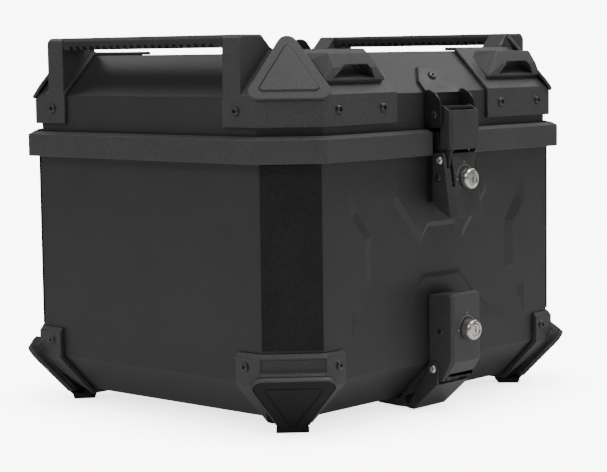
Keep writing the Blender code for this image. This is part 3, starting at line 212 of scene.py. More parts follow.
MATERIALS = {
    "shell_plastic": moulded(
        "shell plastic", dark=(0.030, 0.030, 0.030), light=(0.035, 0.035, 0.034),
        rough=0.47, grain=1100.0, depth=0.00008, strength=0.6),
    "guard_plastic": moulded(
        "guard plastic", dark=(0.053, 0.053, 0.054), light=(0.061, 0.061, 0.062),
        rough=0.50, grain=900.0, depth=0.00011, strength=0.7),
    "dark_plastic": moulded(
        "coarse black plastic", dark=(0.010, 0.010, 0.0105), light=(0.015, 0.015, 0.0155),
        rough=0.72, grain=560.0, depth=0.00034, strength=1.0, spec=0.35),
    "rubber": moulded(
        "rubber", dark=(0.014, 0.014, 0.014), light=(0.020, 0.020, 0.020),
        rough=0.78, grain=900.0, depth=0.00008, spec=0.35),
    "liner_fabric": felt(
        "liner felt", dark=(0.020, 0.020, 0.023), light=(0.060, 0.060, 0.066)),
    "black_metal": coated("black powder coat", colour=(0.013, 0.013, 0.0135), rough=0.40),
    # Painted light: a lighter copy of the black powder coat, standing in for the light that the
    # latch parts' faces catch
    "painted_lit_coat": coated("black coat lightened as painted light", colour=(0.040, 0.040, 0.039), rough=0.43),
    "bar_plastic": moulded(
        "handle bar plastic", dark=(0.028, 0.028, 0.029), light=(0.036, 0.036, 0.037),
        rough=0.6, grain=620.0, depth=0.00016, strength=0.7, spec=0.4),
    "dark_screws": coated(
        "black zinc screw", colour=(0.016, 0.016, 0.017), rough=0.34, spec=0.7, coat=0.25),
    "bare_steel": polished("brushed steel", colour=(0.50, 0.50, 0.51), rough=0.30, brushed=1.0),
    "chrome": polished("chrome", colour=(0.74, 0.72, 0.68), rough=0.27),
    "marker": moulded(
        "printed marker", dark=(0.30, 0.30, 0.30), light=(0.36, 0.36, 0.36),
        rough=0.6, grain=1500.0, depth=0.00001),
    "slot_dark": moulded(
        "key slot shadow", dark=(0.004, 0.004, 0.004), light=(0.007, 0.007, 0.007),
        rough=0.7, grain=1500.0, depth=0.00001),
}


# ---------------------------------------------------------------- solids
def link(data, name="tmp"):
    obj = bpy.data.objects.new(name, data)
    bpy.context.scene.collection.objects.link(obj)
    return obj


def from_bmesh(bm):
    bmesh.ops.remove_doubles(bm, verts=bm.verts, dist=1e-4)
    bmesh.ops.recalc_face_normals(bm, faces=bm.faces)
    mesh = bpy.data.meshes.new("tmp")
    bm.to_mesh(mesh)
    bm.free()
    return link(mesh)


def loft(rings, closed=False):
    """Skins the rings: capped at both ends, or the last joined to the first if closed."""
    bm = bmesh.new()
    rows = [[bm.verts.new(point) for point in ring] for ring in rings]
    count = len(rows[0])
    following = rows[1:] + rows[:1] if closed else rows[1:]
    for row, after in zip(rows, following):
        for i in range(count):
            j = (i + 1) % count
            bm.faces.new((row[i], row[j], after[j], after[i]))
    if not closed:
        bm.faces.new(rows[0][::-1])
        bm.faces.new(rows[-1])
    return from_bmesh(bm)


# Places a flat point at a distance along each axis
PUT = {
    "x": lambda point, along: (along, point[0], point[1]),
    "y": lambda point, along: (point[0], along, point[1]),
    "z": lambda point, along: (point[0], point[1], along),
}


def prism(points, axis, low, high):
    return loft([[PUT[axis](point, along) for point in points] for along in (low, high)])


def box(x0, x1, y0, y1, z0, z1):
    return prism([(x0, y0), (x1, y0), (x1, y1), (x0, y1)], "z", z0, z1)


def circle(centre, radius, count, start=0.0):
    angles = [start + 2 * math.pi * i / count for i in range(count)]
    return [(centre[0] + radius * math.cos(a), centre[1] + radius * math.sin(a)) for a in angles]


def lathe(axis, centre, profile, count, bore=None):
    """Turns a profile of (along the axis, radius); a bore profile makes it a ring."""
    return loft([
        [PUT[axis](point, along) for point in circle(centre, radius, count, math.pi / count)]
        for along, radius in profile + (bore or [])[::-1]
    ], closed=bore is not None)


def combine(target, operation, tools):
    """Applies one Boolean per tool and removes the tools."""
    for tool in tools:
        modifier = target.modifiers.new("bool", "BOOLEAN")
        modifier.operation = operation
        modifier.solver = "EXACT"
        modifier.object = tool
        depsgraph = bpy.context.evaluated_depsgraph_get()
        mesh = bpy.data.meshes.new_from_object(target.evaluated_get(depsgraph))
        target.modifiers.clear()
        target.data = mesh
        bpy.data.objects.remove(tool, do_unlink=True)
    return target


def cut(target, *tools):
    return combine(target, "DIFFERENCE", tools)


def fuse(target, *tools):
    return combine(target, "UNION", tools)


def join(target, *others):
    """Puts separate solids into one object without a Boolean."""
    bm = bmesh.new()
    bm.from_mesh(target.data)
    for other in others:
        bm.from_mesh(other.data)
        bpy.data.objects.remove(other, do_unlink=True)
    bm.to_mesh(target.data)
    bm.free()
    return target


def mirrored(obj, sign_x, sign_y):
    obj.data.transform(Matrix.Diagonal((sign_x, sign_y, 1, 1)))
    if sign_x * sign_y < 0:
        obj.data.flip_normals()
    return obj


def soften(obj, width, segments=3, angle=31.0, dissolve=0.5, pick=None):
    """Rounds edges that turn more than angle (degrees) by width, or only those picked.

    Unless edges are picked, shallow edges between the small facets of a drilled hole
    are left alone.
    """
    hole_turn, hole_area = 36.0, 12.0
    bm = bmesh.new()
    bm.from_mesh(obj.data)
    bmesh.ops.remove_doubles(bm, verts=bm.verts, dist=0.004)
    bmesh.ops.dissolve_limit(
        bm, angle_limit=math.radians(dissolve), verts=bm.verts, edges=bm.edges)
    bmesh.ops.dissolve_degenerate(bm, dist=0.01, edges=bm.edges)
    edges = []
    for edge in bm.edges:
        if len(edge.link_faces) != 2:
            continue
        turn = math.degrees(edge.calc_face_angle(0.0))
        smallest = min(face.calc_area() for face in edge.link_faces)
        if pick is None and turn < hole_turn and smallest < hole_area:
            continue
        if turn > angle and (pick is None or pick(edge)):
            edges.append(edge)
    bmesh.ops.bevel(
        bm, geom=edges, offset=width, offset_type="OFFSET", segments=segments,
        profile=0.5, affect="EDGES", clamp_overlap=False, loop_slide=True,
    )
    bmesh.ops.recalc_face_normals(bm, faces=bm.faces)
    bm.to_mesh(obj.data)
    bm.free()
    return obj


def cad(node):
    """The CAD node's mesh in millimetres, coplanar triangles joined."""
    source = frame["nodes"][node]
    bm = bmesh.new()
    bm.from_mesh(source.data)
    to_mm = Matrix.Scale(1000.0, 4) @ source.matrix_world
    bmesh.ops.transform(bm, matrix=to_mm, verts=bm.verts)
    bmesh.ops.remove_doubles(bm, verts=bm.verts, dist=0.003)
    bmesh.ops.dissolve_limit(bm, angle_limit=math.radians(0.3), verts=bm.verts, edges=bm.edges)
    # A fresh mesh takes over only the vertices and faces
    mesh = bpy.data.meshes.new("cad")
    plain = bmesh.new()
    fresh = [plain.verts.new(vert.co) for vert in bm.verts]
    bm.verts.index_update()
    for face in bm.faces:
        plain.faces.new([fresh[vert.index] for vert in face.verts])
    bm.free()
    plain.to_mesh(mesh)
    plain.free()
    return link(mesh)


def show(obj, node, name=None, slot=None, look=None, smooth=35.0):
    """Finishes a piece: metres, material, weighted normals, rides with its node's body.

    A piece with its own name is an extra beside the node; otherwise it replaces the node.
    """
    obj.name = name or f"shown_{node}"
    obj.data.transform(Matrix.Scale(METRES_PER_MM, 4))
    obj.data.materials.clear()
    slot = slot or SLOT_OF[node]
    obj.data.materials.append(MATERIALS[look or slot])
    obj.data.shade_smooth()
    obj.data.set_sharp_from_angle(angle=math.radians(smooth))
    modifier = obj.modifiers.new("normals", "WEIGHTED_NORMAL")
    modifier.keep_sharp = True
    modifier.weight = 60
    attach(obj, BODY_OF[node])
    if name is None:
        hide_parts(node)


# ---------------------------------------------------------------- corner facets, front left
# Facet of the base guard, between its upper and lower edge
FACET_OFFSET = 5.0
FACET_TOP_Z = 49.0 - 0.414 * FACET_OFFSET
FACET_LOW_Z = 11.0 - FACET_OFFSET
PAD_SHIFT = -11.3       # pad outline's start, down the facet from its upper edge
PAD_HEIGHT = 84.0
PAD_SLOPE = 0.486       # half width gained per mm from the tip


def facet_sum(height, normal):
    """|x| + |y| of a facet at a height along it, moved out by normal."""
    return CORNER_SUM - FACET_DROP * height + normal * ROOT2 / math.sin(FACET_TILT)


FACET_TOP_SUM = facet_sum(2.0, 6.0)
FACET_LOW_SUM = facet_sum(38.0 + FACET_OFFSET, 3.6)


def chamfer_point(across, normal, z, total=CORNER_SUM):
    """Point on the corner where |x| + |y| is total, moved across it and out."""
    reach = total + normal * ROOT2
    middle = HALF_WIDTH - HALF_DEPTH
    return (
        (-reach - middle) / 2 + across / ROOT2,
        (-reach + middle) / 2 - across / ROOT2,
        z,
    )


def facet_point(across, down, normal):
    """Point on the base guard's facet, moved down it and out."""
    run = (FACET_TOP_SUM - FACET_LOW_SUM) / ROOT2
    drop = FACET_TOP_Z - FACET_LOW_Z
    length = math.hypot(run, drop)
    inward, steep = run / length, drop / length
    down += PAD_SHIFT
    total = FACET_TOP_SUM - down * inward * ROOT2 + normal * steep * ROOT2
    return chamfer_point(across, 0, FACET_TOP_Z - down * steep - normal * inward, total)


def facet_loft(*rows):
    """Skins (outline, distance out of the facet) rows."""
    return loft([[facet_point(v, u, normal) for v, u in outline] for outline, normal in rows])


def facet_slab(outline, inner, outer):
    return facet_loft((outline, inner), (outline, outer))


def rounded(points, radius, steps):
    outline = []
    for i, point in enumerate(points):
        corner = Vector(point)
        back = (Vector(points[i - 1]) - corner).normalized()
        ahead = (Vector(points[(i + 1) % len(points)]) - corner).normalized()
        half = back.angle(ahead) / 2
        reach = radius / math.tan(half)
        centre = corner + (back + ahead).normalized() * (radius / math.sin(half))
        start = corner + back * reach - centre
        end = corner + ahead * reach - centre
        first = math.atan2(start.y, start.x)
        turn = (math.atan2(end.y, end.x) - first + math.pi) % (2 * math.pi) - math.pi
        for k in range(steps + 1):
            angle = first + turn * k / steps
            outline.append((
                centre.x + radius * math.cos(angle),
                centre.y + radius * math.sin(angle),
            ))
    return outline


def triangle(inset, radius, steps=8):
    """Rounded outline of the rubber pad, drawn in by inset."""
    tip = PAD_HEIGHT - inset / math.sin(math.atan(PAD_SLOPE))
    half_width = (tip - inset) * PAD_SLOPE
    return rounded([(-half_width, inset), (half_width, inset), (0, tip)], radius, steps)


# ---------------------------------------------------------------- tub with its lock face relief
def both_halves(half):
    return half + [(-x, z) for x, z in half[::-1]]


def lock_face_ring(outline, depth):
    return [(x, -HALF_DEPTH + depth, z) for x, z in outline]


RELIEF = 2.3            # depth of the pressed pattern
RECESS_OVERSHOOT = 2.0  # how far the recess tool stands out of the lock face
ISLAND_SINK = RELIEF + 0.3

# Right half outlines on the lock face, (x, z)
RECESS_EDGE = both_halves([
    (132.8, 220.5), (132.8, 192.0), (113.3, 172.2), (113.3, 130.5), (132.6, 110.2), (132.8, 80.0),
])
RECESS_FLOOR = both_halves([
    (122.0, 199.0), (122.0, 197.0), (102.5, 174.5), (102.5, 128.0), (122.8, 106.5), (122.7, 103.0),
])
UPPER_TOP = both_halves([(67.0, 226.0), (67.0, 208.0), (31.0, 170.0), (21.5, 181.4)])
UPPER_FOOT = both_halves([(74.0, 226.0), (74.0, 204.5), (32.5, 160.5), (19.0, 176.0)])
LOWER_TOP = both_halves([(26.0, 129.0), (47.5, 108.0), (66.5, 94.0), (66.5, 70.0)])
LOWER_FOOT = both_halves([(28.5, 134.0), (51.5, 111.5), (71.5, 97.0), (71.5, 70.0)])


def on_relief(edge):
    """Edges of the pressed pattern: on the lock face, inside its outline."""
    return all(
        -HALF_DEPTH - 0.1 < v.co.y < -HALF_DEPTH + RELIEF + 0.2
        and abs(v.co.x) < 134.0 and 79.0 < v.co.z < 222.0
        for v in edge.verts
    )


tub = cad("tub_shell")
# The sloping sides carry on past the face
recess_mouth = [
    (
        x_edge + (x_edge - x_floor) * RECESS_OVERSHOOT / RELIEF,
        z_edge + (z_edge - z_floor) * RECESS_OVERSHOOT / RELIEF,
    )
    for (x_edge, z_edge), (x_floor, z_floor) in zip(RECESS_EDGE, RECESS_FLOOR)
]
recess = loft([
    lock_face_ring(recess_mouth, -RECESS_OVERSHOOT),
    lock_face_ring(RECESS_FLOOR, RELIEF),
])
upper_island = loft([
    lock_face_ring(UPPER_TOP, -3.0),
    lock_face_ring(UPPER_TOP, 0.0),
    lock_face_ring(UPPER_FOOT, ISLAND_SINK),
])
lower_island = loft([
    lock_face_ring(LOWER_TOP, 1.0),
    lock_face_ring(LOWER_FOOT, ISLAND_SINK),
])
cut(recess, upper_island, lower_island)
cut(tub, recess)
soften(tub, width=0.9)
soften(tub, width=0.7, segments=2, angle=7.0, dissolve=0.05, pick=on_relief)
show(tub, "tub_shell", smooth=24.0)

# ---------------------------------------------------------------- pieces refined from the frame
# Edge rounding per node: width, segments and, where not the usual, the least turn
REFINE = {
    "rim_frame": (0.75, 3, 20.0),
    "rim_gasket": (0.9, 3),
    "floor_mat": (0.6, 2),
    "lid_shell": (0.9, 3),
    "lid_liner": (0.8, 2),
    "base_plate": (0.6, 2),
    "latch_base_bracket": (0.35, 2),
    "latch_lever": (0.45, 3),
    "latch_hook": (0.45, 3),
    "striker_bracket": (0.4, 2),
    "base_lock_housing": (0.8, 3, 18.0),
    "release_lever": (0.6, 3),
}
for part, width in (("hinge_lid_leaf", 0.35), ("hinge_tub_leaf", 0.35), ("lid_stay", 0.4)):
    for side in SIDES:
        REFINE[f"{part}_{side}"] = (width, 2)
for corner in CORNERS:
    REFINE[f"corner_panel_{corner}"] = (0.45, 2)
    REFINE[f"lid_bumper_{corner}"] = (1.0, 4)
# Latch parts shown in the lighter copy of the black coat, painted light for their brighter lit
# faces
PAINTED_LIT_PARTS = ("latch_lever", "latch_hook", "release_lever")

# Additions to the lower housing, (y, z): horns outside the release lever's sweep, a lip
# where the walls meet the tub's floor, and a rib between the side walls
HORN = [
    (-153.0, 12.0), (-153.0, 4.5), (-150.0, 2.8), (-157.0, 2.25), (-161.9, 2.3),
    (-161.6, 4.8), (-160.0, 6.2), (-157.8, 8.2), (-155.9, 10.2), (-154.6, 11.6),
]
FLOOR_LIP = [
    (-158.0, 16.0), (-146.0, 12.0), (-140.0, 12.0), (-140.0, 6.0), (-150.0, 6.0), (-154.5, 9.0),
]
RIB = [(-154.4, 2.6), (-152.0, 2.6), (-152.0, 11.6), (-154.4, 11.6)]
HOUSING_WALLS = ((-21.8, -19.9), (19.9, 21.8))
RIB_HALF_WIDTH = 20.4

for node, rounding in REFINE.items():
    piece = cad(node)
    if node == "base_lock_housing":
        fuse(
            piece,
            *[prism(line, "x", *wall) for line in (HORN, FLOOR_LIP) for wall in HOUSING_WALLS],
            prism(RIB, "x", -RIB_HALF_WIDTH, RIB_HALF_WIDTH),
        )
    show(soften(piece, *rounding), node, look="painted_lit_coat" if node in PAINTED_LIT_PARTS else None)


# ---------------------------------------------------------------- lid guards
def on_post(edge):
    """Rim of the handle post's outer end."""
    outside = all(
        abs(v.co.y) > 128.9 and abs(v.co.x) > 170.9 and v.co.z > 310.0 for v in edge.verts
    )
    return outside and max(v.co.z for v in edge.verts) > 340.0


for corner in CORNERS:
    guard = cad(f"lid_guard_{corner}")
    soften(guard, width=2.6, segments=8, angle=20.0, pick=on_post)
    show(soften(guard, width=0.9, angle=14.0), f"lid_guard_{corner}")

# ---------------------------------------------------------------- base guards and feet
# Recessed bar across the corner: (across, out of the chamfer), then its z range
CORNER_BAR = ((-29.5, 3.4), (29.5, 3.4), (29.5, 9.0), (-29.5, 9.0))
CORNER_BAR_Z = (60.2, 71.4)

plain_tub = cad("tub_shell")
low_points = [v.co.copy() for v in plain_tub.data.vertices if v.co.z < 60.0]
bpy.data.objects.remove(plain_tub, do_unlink=True)
low_points += [Vector((p.x, p.y, 110.0)) for p in low_points if p.z > 45.0]


def tub_core():
    """The lower tub as one filled solid, its surface a little way out into the guards."""
    bm = bmesh.new()
    for point in low_points:
        bm.verts.new((point.x * 1.008, point.y * 1.008, point.z - 1.2))
    bmesh.ops.convex_hull(bm, input=bm.verts)
    loose = [v for v in bm.verts if not v.link_faces]
    bmesh.ops.delete(bm, geom=loose, context="VERTS")
    return from_bmesh(bm)


def below(top):
    """Block that trims whatever is lower than top in the front left quarter."""
    return box(-260, 0, -260, 0, -40, top)


def pad_boss():
    """Boss behind the pad, running back into the guard's wings."""
    wide = triangle(-2.0, 10.0)
    body = facet_loft((triangle(9.0, 4.0), -13.0), (wide, -0.3), (wide, 0.6))
    return cut(body, tub_core(), facet_slab(triangle(-0.9, 8.9), -0.15, 8.0), below(7.6))


def pad_rim():
    rim = facet_slab(triangle(-2.2, 10.0), -0.6, 4.1)
    return cut(rim, facet_slab(triangle(-0.5, 8.5), -2.0, 8.0), below(7.5))


def pad_groove():
    groove = facet_slab(triangle(8.0, 3.0, steps=4), 2.9, 6.0)
    return cut(groove, facet_slab(triangle(9.6, 2.4, steps=4), 2.0, 8.0))


for corner, signs in CORNERS.items():
    guard = cad(f"base_guard_{corner}")
    bar = loft([[chamfer_point(v, out, z) for v, out in CORNER_BAR] for z in CORNER_BAR_Z])
    cut(guard, mirrored(bar, *signs))
    fuse(guard, mirrored(pad_rim(), *signs), mirrored(pad_boss(), *signs))
    show(soften(guard, width=0.7, angle=14.0), f"base_guard_{corner}")

    foot = cut(cad(f"foot_{corner}"), mirrored(pad_groove(), *signs))
    show(soften(foot, width=0.5, segments=2), f"foot_{corner}")

# ---------------------------------------------------------------- handle bars
# Finger notch under the left bar, (x, z), repeated along y
NOTCH = [
    (-214.5, 345.0), (-214.5, 350.2), (-211.3, 350.2), (-209.5, 347.8),
    (-187.7, 347.8), (-186.1, 350.2), (-183.0, 350.2), (-183.0, 345.0),
]
NOTCH_PITCH = 9.4
NOTCH_HALF = 2.7


def on_bar_top(edge):
    return all(v.co.z > 351.5 for v in edge.verts)


for side, sign in SIDES.items():
    bar = cad(f"handle_bar_{side}")
    notches = [
        prism(NOTCH, "y", NOTCH_PITCH * k - NOTCH_HALF, NOTCH_PITCH * k + NOTCH_HALF)
        for k in range(-10, 11)
    ]
    cut(bar, mirrored(join(*notches), sign, 1))
    soften(bar, width=1.1, segments=4, angle=20.0, pick=on_bar_top)
    soften(bar, width=0.3, segments=2)
    show(bar, f"handle_bar_{side}", look="bar_plastic")


# ---------------------------------------------------------------- screws
def hex_head(axis, centre, face, out, radius, height, socket):
    """Button head with a hexagon socket, standing out of face; out is +1 or -1."""
    # (share of the height, share of the radius)
    dome = ((0.30, 1.0), (0.62, 0.90), (0.88, 0.72), (1.0, 0.55))
    profile = [(face, radius * 0.97)]
    profile += [(face + out * height * up, radius * share) for up, share in dome]
    head = lathe(axis, centre, profile, 32)
    ends = sorted((face + out * height * 0.15, face + out * (height + 1)))
    return cut(head, prism(circle(centre, socket, 6, 0.3), axis, *ends))


def octagon(offset, z, leg):
    """The tub's plan outline moved out by offset."""
    w, d = HALF_WIDTH + offset, HALF_DEPTH + offset
    leg += (2 - ROOT2) * offset
    return [
        (-w + leg, -d, z), (w - leg, -d, z), (w, -d + leg, z), (w, d - leg, z),
        (w - leg, d, z), (-w + leg, d, z), (-w, d - leg, z), (-w, -d + leg, z),
    ]


def guard_screw(axis, spot, half, stand):
    """Head, shank and washer through the wall at -half on the axis."""
    surface = -half - stand
    rim, lift = surface - 0.05, surface - 0.35
    return [
        hex_head(axis, spot, surface - 0.3, -1, radius=4.1, height=2.0, socket=1.75),
        lathe(axis, spot, [(surface - 0.4, 2.4), (-half + 6.8, 2.4), (-half + 7.6, 1.9)], 24),
        lathe(axis, spot, [(rim, 5.1), (lift, 4.9)], 32, bore=[(rim, 3.0), (lift, 3.0)]),
    ]


def guard_screws(low, high, leg, stop, front, side, stand):
    """Left nut strip inside the wall, ending at x = stop, with its screws.

    front holds (x, z) and side (y, z) spots; stand is the guard's surface off the wall.
    """
    strip = loft([octagon(-3.3, z, leg) for z in (low, high)])
    cut(strip, loft([octagon(-5.5, z, leg) for z in (low - 3, high + 3)]))
    cut(strip, box(stop, 300, -300, 300, low - 9, high + 9))
    soften(strip, width=0.4, segments=2)
    parts = []
    for sign_y in (1, -1):
        for axis, half, spots in (("y", HALF_DEPTH, front), ("x", HALF_WIDTH, side)):
            for spot in spots:
                screw_parts = guard_screw(axis, spot, half, stand)
                parts += [mirrored(part, 1, sign_y) for part in screw_parts]
    return join(strip, *parts)


GUARD_SCREWS = {
    "lid_guard_screws": dict(
        low=284.0, high=297.0, leg=43.0, stop=-84.0,
        front=[(-151.0, 291.0), (-90.0, 291.0)], side=[(-123.0, 290.5)], stand=3.4),
    "base_guard_screws": dict(
        low=57.0, high=71.0, leg=CORNER_LEG, stop=-150.0,
        front=[(-156.0, 64.0)], side=[(-131.0, 64.0)], stand=5.0),
}
for prefix, layout in GUARD_SCREWS.items():
    screws = guard_screws(**layout)
    other = link(screws.data.copy())
    show(screws, f"{prefix}_left")
    show(mirrored(other, -1, 1), f"{prefix}_right")

# Built upright at the origin, then tilted into place with its hexagon nut
screw = join(
    hex_head("z", (0, 0), 0.35, 1, radius=4.6, height=2.3, socket=2.0),
    lathe("z", (0, 0), [(0.4, 2.5), (-9.0, 2.5)], 24),
    prism(circle((0, 0), 5.4, 6), "z", -9.6, -7.2),
)
screw_place = Matrix.Translation((0.0, -174.5, 317.5))
screw.data.transform(screw_place @ Matrix.Rotation(math.radians(45), 4, "X"))
show(screw, "striker_screw")

# ---------------------------------------------------------------- bolts, pins
# Axes that run along x, (y, z)
LEVER_AXIS = (-202.0, 239.7)
HOOK_AXIS = (-200.5, 223.7)
RELEASE_AXIS = (-193.0, 43.0)
HOUSING_SCREW_AXIS = (-200.0, 79.0)
STRIKER_AXIS = (-198.0, 282.0)
HINGE_AXIS = (204.0, 262.0)
HINGE_X = 38.0
STAY_RADIUS = 110.0     # from the hinge axis to the stay pins
STAY_PIN_ANGLES = {"stay_pin_lid": 8.0, "stay_pin_tub": -12.0}

# Pin profiles, (x, radius): half of a headed pin from its end to its shank, then the
# whole stay pin from its outer end inward
STRIKER_HALF = [(28.6, 2.2), (28.2, 3.2), (27.7, 3.6), (27.1, 3.6), (27.1, 2.5)]
HINGE_HALF = [(26.9, 2.4), (26.5, 3.3), (25.8, 3.8), (25.3, 3.8), (25.3, 2.2)]
STAY_PIN = [
    (208.6, 3.0), (206.7, 3.0), (206.7, 5.4), (206.3, 5.6), (201.5, 5.6), (201.2, 5.4),
    (201.2, 2.8), (197.8, 2.8), (197.8, 5.0), (197.4, 5.2), (196.4, 5.0), (195.8, 4.2),
]


def head_pair(axis_point, inner, **head):
    """Two heads facing outward at x = -inner and +inner."""
    return join(*[hex_head("x", axis_point, out * inner, out, **head) for out in (-1, 1)])


def bolt(axis_point, inner, outer, radius):
    shank = lathe("x", axis_point, [(-inner - 0.2, 3.0), (inner + 0.2, 3.0)], 32)
    heads = head_pair(axis_point, inner, radius=radius, height=outer - inner, socket=2.0)
    return join(shank, heads)


def headed_pin(axis_point, middle, half):
    profile = [(middle - along, radius) for along, radius in half]
    profile += [(middle + along, radius) for along, radius in half[::-1]]
    return lathe("x", axis_point, profile, 40)


show(bolt(LEVER_AXIS, inner=24.5, outer=26.4, radius=3.9), "latch_pivot_bolt")
show(head_pair(HOOK_AXIS, inner=24.5, radius=3.3, height=1.2, socket=1.5),
     "latch_hook", "hook_pivot_ends", "black_metal", "dark_screws")
show(bolt(RELEASE_AXIS, inner=24.9, outer=27.0, radius=4.0), "release_pivot_bolt")
show(head_pair(HOUSING_SCREW_AXIS, inner=21.9, radius=2.7, height=1.0, socket=1.2),
     "base_lock_housing", "housing_side_screws", "guard_plastic", "dark_screws")
show(headed_pin(STRIKER_AXIS, 0.0, STRIKER_HALF), "striker_pin")
for side, sign in SIDES.items():
    show(headed_pin(HINGE_AXIS, -sign * HINGE_X, HINGE_HALF), f"hinge_pin_{side}")
    for name, degrees in STAY_PIN_ANGLES.items():
        angle = math.radians(degrees)
        centre = (
            HINGE_AXIS[0] - STAY_RADIUS * math.cos(angle),
            HINGE_AXIS[1] + STAY_RADIUS * math.sin(angle),
        )
        pin = lathe("x", centre, [(-sign * x, radius) for x, radius in STAY_PIN], 40)
        show(pin, f"{name}_{side}")


# ---------------------------------------------------------------- locks
def lock_barrel(z, front, seat, back):
    outside = [
        (front, 8.3), (front + 0.4, 8.9), (front + 1.1, 9.4), (front + 2.2, 9.8),
        (front + 3.6, 10.05), (front + 5.0, 10.15), (seat - 0.9, 10.2), (seat - 0.6, 9.9),
        (seat - 0.6, 8.0), (back, 8.0),
    ]
    straight = (front + 0.6, seat - 0.9, seat - 0.6, seat - 0.5, seat, back)
    return lathe("y", (0, z), outside, 72, bore=[(front, 6.8)] + [(y, 6.2) for y in straight])


def lock_plug(z, front, back, cam_front, cam_back, cam_length):
    """Plug with its keyway, a cam reaching to +X and a thin plate in the keyway."""
    body = lathe("y", (0, z), [
        (front + 0.5, 5.0), (front + 0.7, 5.6), (front + 1.2, 5.9),
        (back, 5.9), (back, 4.0), (cam_back, 4.0),
    ], 64)
    cut(
        body,
        box(-0.75, 0.75, front - 3, front + 8, z - 3.5, z + 3.5),
        box(-1.6, 1.6, front - 3, front + 2.2, z - 1.1, z + 1.1),
    )
    cam = prism([
        (0, z - 5), (cam_length - 1.5, z - 4), (cam_length, z - 2.5),
        (cam_length, z + 2.5), (cam_length - 1.5, z + 4), (0, z + 5),
    ], "y", cam_front, cam_back)
    soften(cam, width=0.4, segments=2)
    return join(body, cam, box(-0.7, 0.7, front + 2.4, front + 2.6, z - 3.4, z + 3.4))


def marker(z, face):
    """Printed arc, triangle and dot round a lock; face(z) gives the surface's y."""
    def plate(points):
        return loft([
            [(x, face(z + up) - lift, z + up) for x, up in points] for lift in (-0.3, 0.12)
        ])

    start, end, steps = math.radians(20), math.radians(165), 20
    angles = [start + (end - start) * k / steps for k in range(steps + 1)]
    arc = [(13.1 * math.cos(a), 13.1 * math.sin(a)) for a in angles]
    arc += [(12.6 * math.cos(a), 12.6 * math.sin(a)) for a in angles[::-1]]
    pointer = [(-1.1, 14.6), (0.0, 17.0), (1.1, 14.6)]
    return join(plate(arc), plate(pointer), plate(circle((-13.4, 0.0), 1.0, 16)))


LATCH_LOCK = dict(z=222.3, front=-223.2)
BASE_LOCK = dict(z=80.3, front=-225.5)
show(lock_barrel(**LATCH_LOCK, seat=-215.6, back=-203.5), "latch_lock_barrel")
show(lock_plug(**LATCH_LOCK, back=-203.2, cam_front=-198.1, cam_back=-195.9, cam_length=15.5),
     "latch_lock_plug")
show(lock_barrel(**BASE_LOCK, seat=-215.3, back=-201.0), "base_lock_barrel")
show(lock_plug(**BASE_LOCK, back=-200.7, cam_front=-199.6, cam_back=-197.2, cam_length=15.0),
     "base_lock_plug")
# The latch lever's face slopes; the housing's is upright
show(marker(LATCH_LOCK["z"], lambda z: -210.7 - (249.0 - z) * 9.0 / 65.0),
     "latch_lever", "marker_latch", "black_metal", "marker")
show(marker(BASE_LOCK["z"], lambda z: -215.0),
     "base_lock_housing", "marker_base", "guard_plastic", "marker")

# ---------------------------------------------------------------- stage
PALE = (0.955, 0.97, 1.0, 1)
WHITE = (1.0, 1.0, 1.0, 1)
GLOW = 9.0      # strength of the backdrop and floor as the camera sees them


def output_by_ray(tree, output, others_see, camera_sees):
    """Shows one shader to the camera and another to all other rays."""
    camera_ray = add_node(tree, "LightPath").outputs["Is Camera Ray"]
    mix = add_node(tree, "MixShader", {"Fac": camera_ray, 1: others_see, 2: camera_sees})
    add_node(tree, output, {"Surface": mix.outputs["Shader"]})


def make_world():
    """Bright backdrop for the camera, dim light growing upward for the case."""
    world = bpy.data.worlds.new("studio")
    bpy.context.scene.world = world
    world.use_nodes = True
    tree = world.node_tree
    tree.nodes.clear()
    seen = add_node(tree, "Background", {"Color": PALE, "Strength": GLOW})
    direction = add_node(tree, "TexCoord").outputs["Generated"]
    height = add_node(tree, "SeparateXYZ", {"Vector": direction}).outputs["Z"]
    level = remap(tree, height, source=(-1.0, 1.0), target=(0.10, 0.20))
    lit = add_node(tree, "Background", {"Color": WHITE, "Strength": level})
    output_by_ray(tree, "OutputWorld", lit.outputs["Background"], seen.outputs["Background"])


def floor_material():
    """Seamless with the backdrop, with a painted contact shadow: darker only where the feet stand.
    """
    material = bpy.data.materials.new("floor")
    material.use_nodes = True
    tree = material.node_tree
    tree.nodes.clear()
    matte = add_node(tree, "BsdfDiffuse", {"Color": (0.90, 0.90, 0.90, 1)})
    # Painted contact shadow: ambient occlusion dims the floor that the camera sees near the case
    painted_contact_shadow = add_node(tree, "AmbientOcclusion", {"Distance": 0.12}, samples=8).outputs["AO"]
    level = remap(tree, painted_contact_shadow, source=(0.0, 0.9), target=(0.28 * GLOW, GLOW))
    glow = add_node(tree, "Emission", {"Color": PALE, "Strength": level})
    lift = add_node(tree, "Emission", {"Strength": 0.12})
    both = add_node(tree, "AddShader", {0: matte.outputs["BSDF"], 1: lift.outputs["Emission"]})
    output_by_ray(tree, "OutputMaterial", both.outputs["Shader"], glow.outputs["Emission"])
    return material


def make_floor():
    material = floor_material()
    bm = bmesh.new()
    bmesh.ops.create_grid(bm, x_segments=4, y_segments=4, size=14.0)
    mesh = bpy.data.meshes.new("floor")
    bm.to_mesh(mesh)
    bm.free()
    floor = link(mesh, "floor")
    floor.location = (0.0, 0.0, size_lo[2] - 0.0004)    # just under the feet
    mesh.materials.append(material)


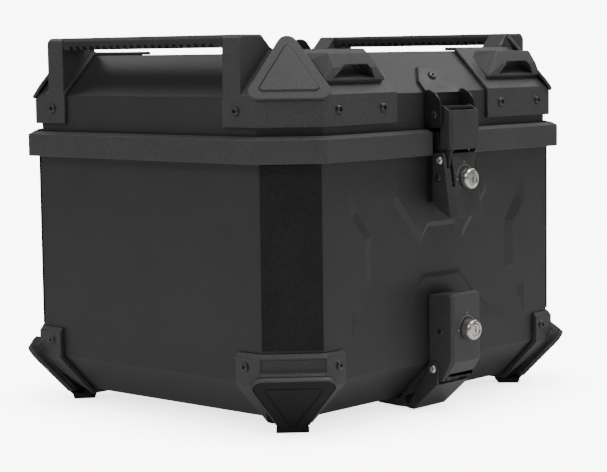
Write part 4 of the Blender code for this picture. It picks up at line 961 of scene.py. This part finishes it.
# Area lights: name, position and target in metres, size in metres, watts
LIGHTS = (
    ("top softbox", (0.2, -0.6, 2.0), (0.0, 0.0, 0.2), (1.2, 1.2), 22.0),
    ("right high softbox", (1.7, -0.3, 1.6), (0.1, -0.1, 0.3), (0.9, 0.9), 6.0),
    ("back high softbox", (-0.3, 1.7, 1.9), (-0.1, 0.0, 0.3), (1.1, 0.9), 8.0),
    ("lock side softbox", (0.1, -2.2, 0.9), (0.0, -0.1, 0.2), (0.9, 1.2), 3.2),
    ("left softbox", (-2.0, -0.2, 1.8), (-0.1, -0.1, 0.25), (0.9, 1.2), 7.2),
    ("lid strip", (-0.85, 0.05, 0.72), (-0.19, 0.0, 0.31), (0.5, 0.12), 0.8),
)


def make_lights():
    for name, position, target, size, power in LIGHTS:
        data = bpy.data.lights.new(name, "AREA")
        data.shape = "RECTANGLE"
        data.size, data.size_y = size
        data.energy = power
        light = link(data, name)
        light.location = position
        direction = Vector(target) - Vector(position)
        light.rotation_euler = direction.to_track_quat("-Z", "Y").to_euler()


CAMERA_PLACE = (-1.3968, -1.2701, 0.3412)
CAMERA_YAW = math.radians(47.92)        # from +Y towards +X
CAMERA_PITCH = math.radians(5.60)       # downward
CAMERA_ROLL = math.radians(-0.77)


def make_camera():
    data = bpy.data.cameras.new("camera")
    camera = link(data, "camera")
    data.sensor_width = 36.0
    data.lens = 110.9
    forward = Vector((
        math.sin(CAMERA_YAW) * math.cos(CAMERA_PITCH),
        math.cos(CAMERA_YAW) * math.cos(CAMERA_PITCH),
        -math.sin(CAMERA_PITCH),
    ))
    level = forward.cross(Vector((0, 0, 1))).normalized()
    upright = level.cross(forward)
    right = level * math.cos(CAMERA_ROLL) + upright * math.sin(CAMERA_ROLL)
    up = upright * math.cos(CAMERA_ROLL) - level * math.sin(CAMERA_ROLL)
    rows = zip(right, up, -forward, CAMERA_PLACE)
    camera.matrix_world = Matrix((*rows, (0, 0, 0, 1)))
    bpy.context.scene.camera = camera


make_world()
make_floor()
make_lights()
make_camera()

bpy.context.view_layer.update()
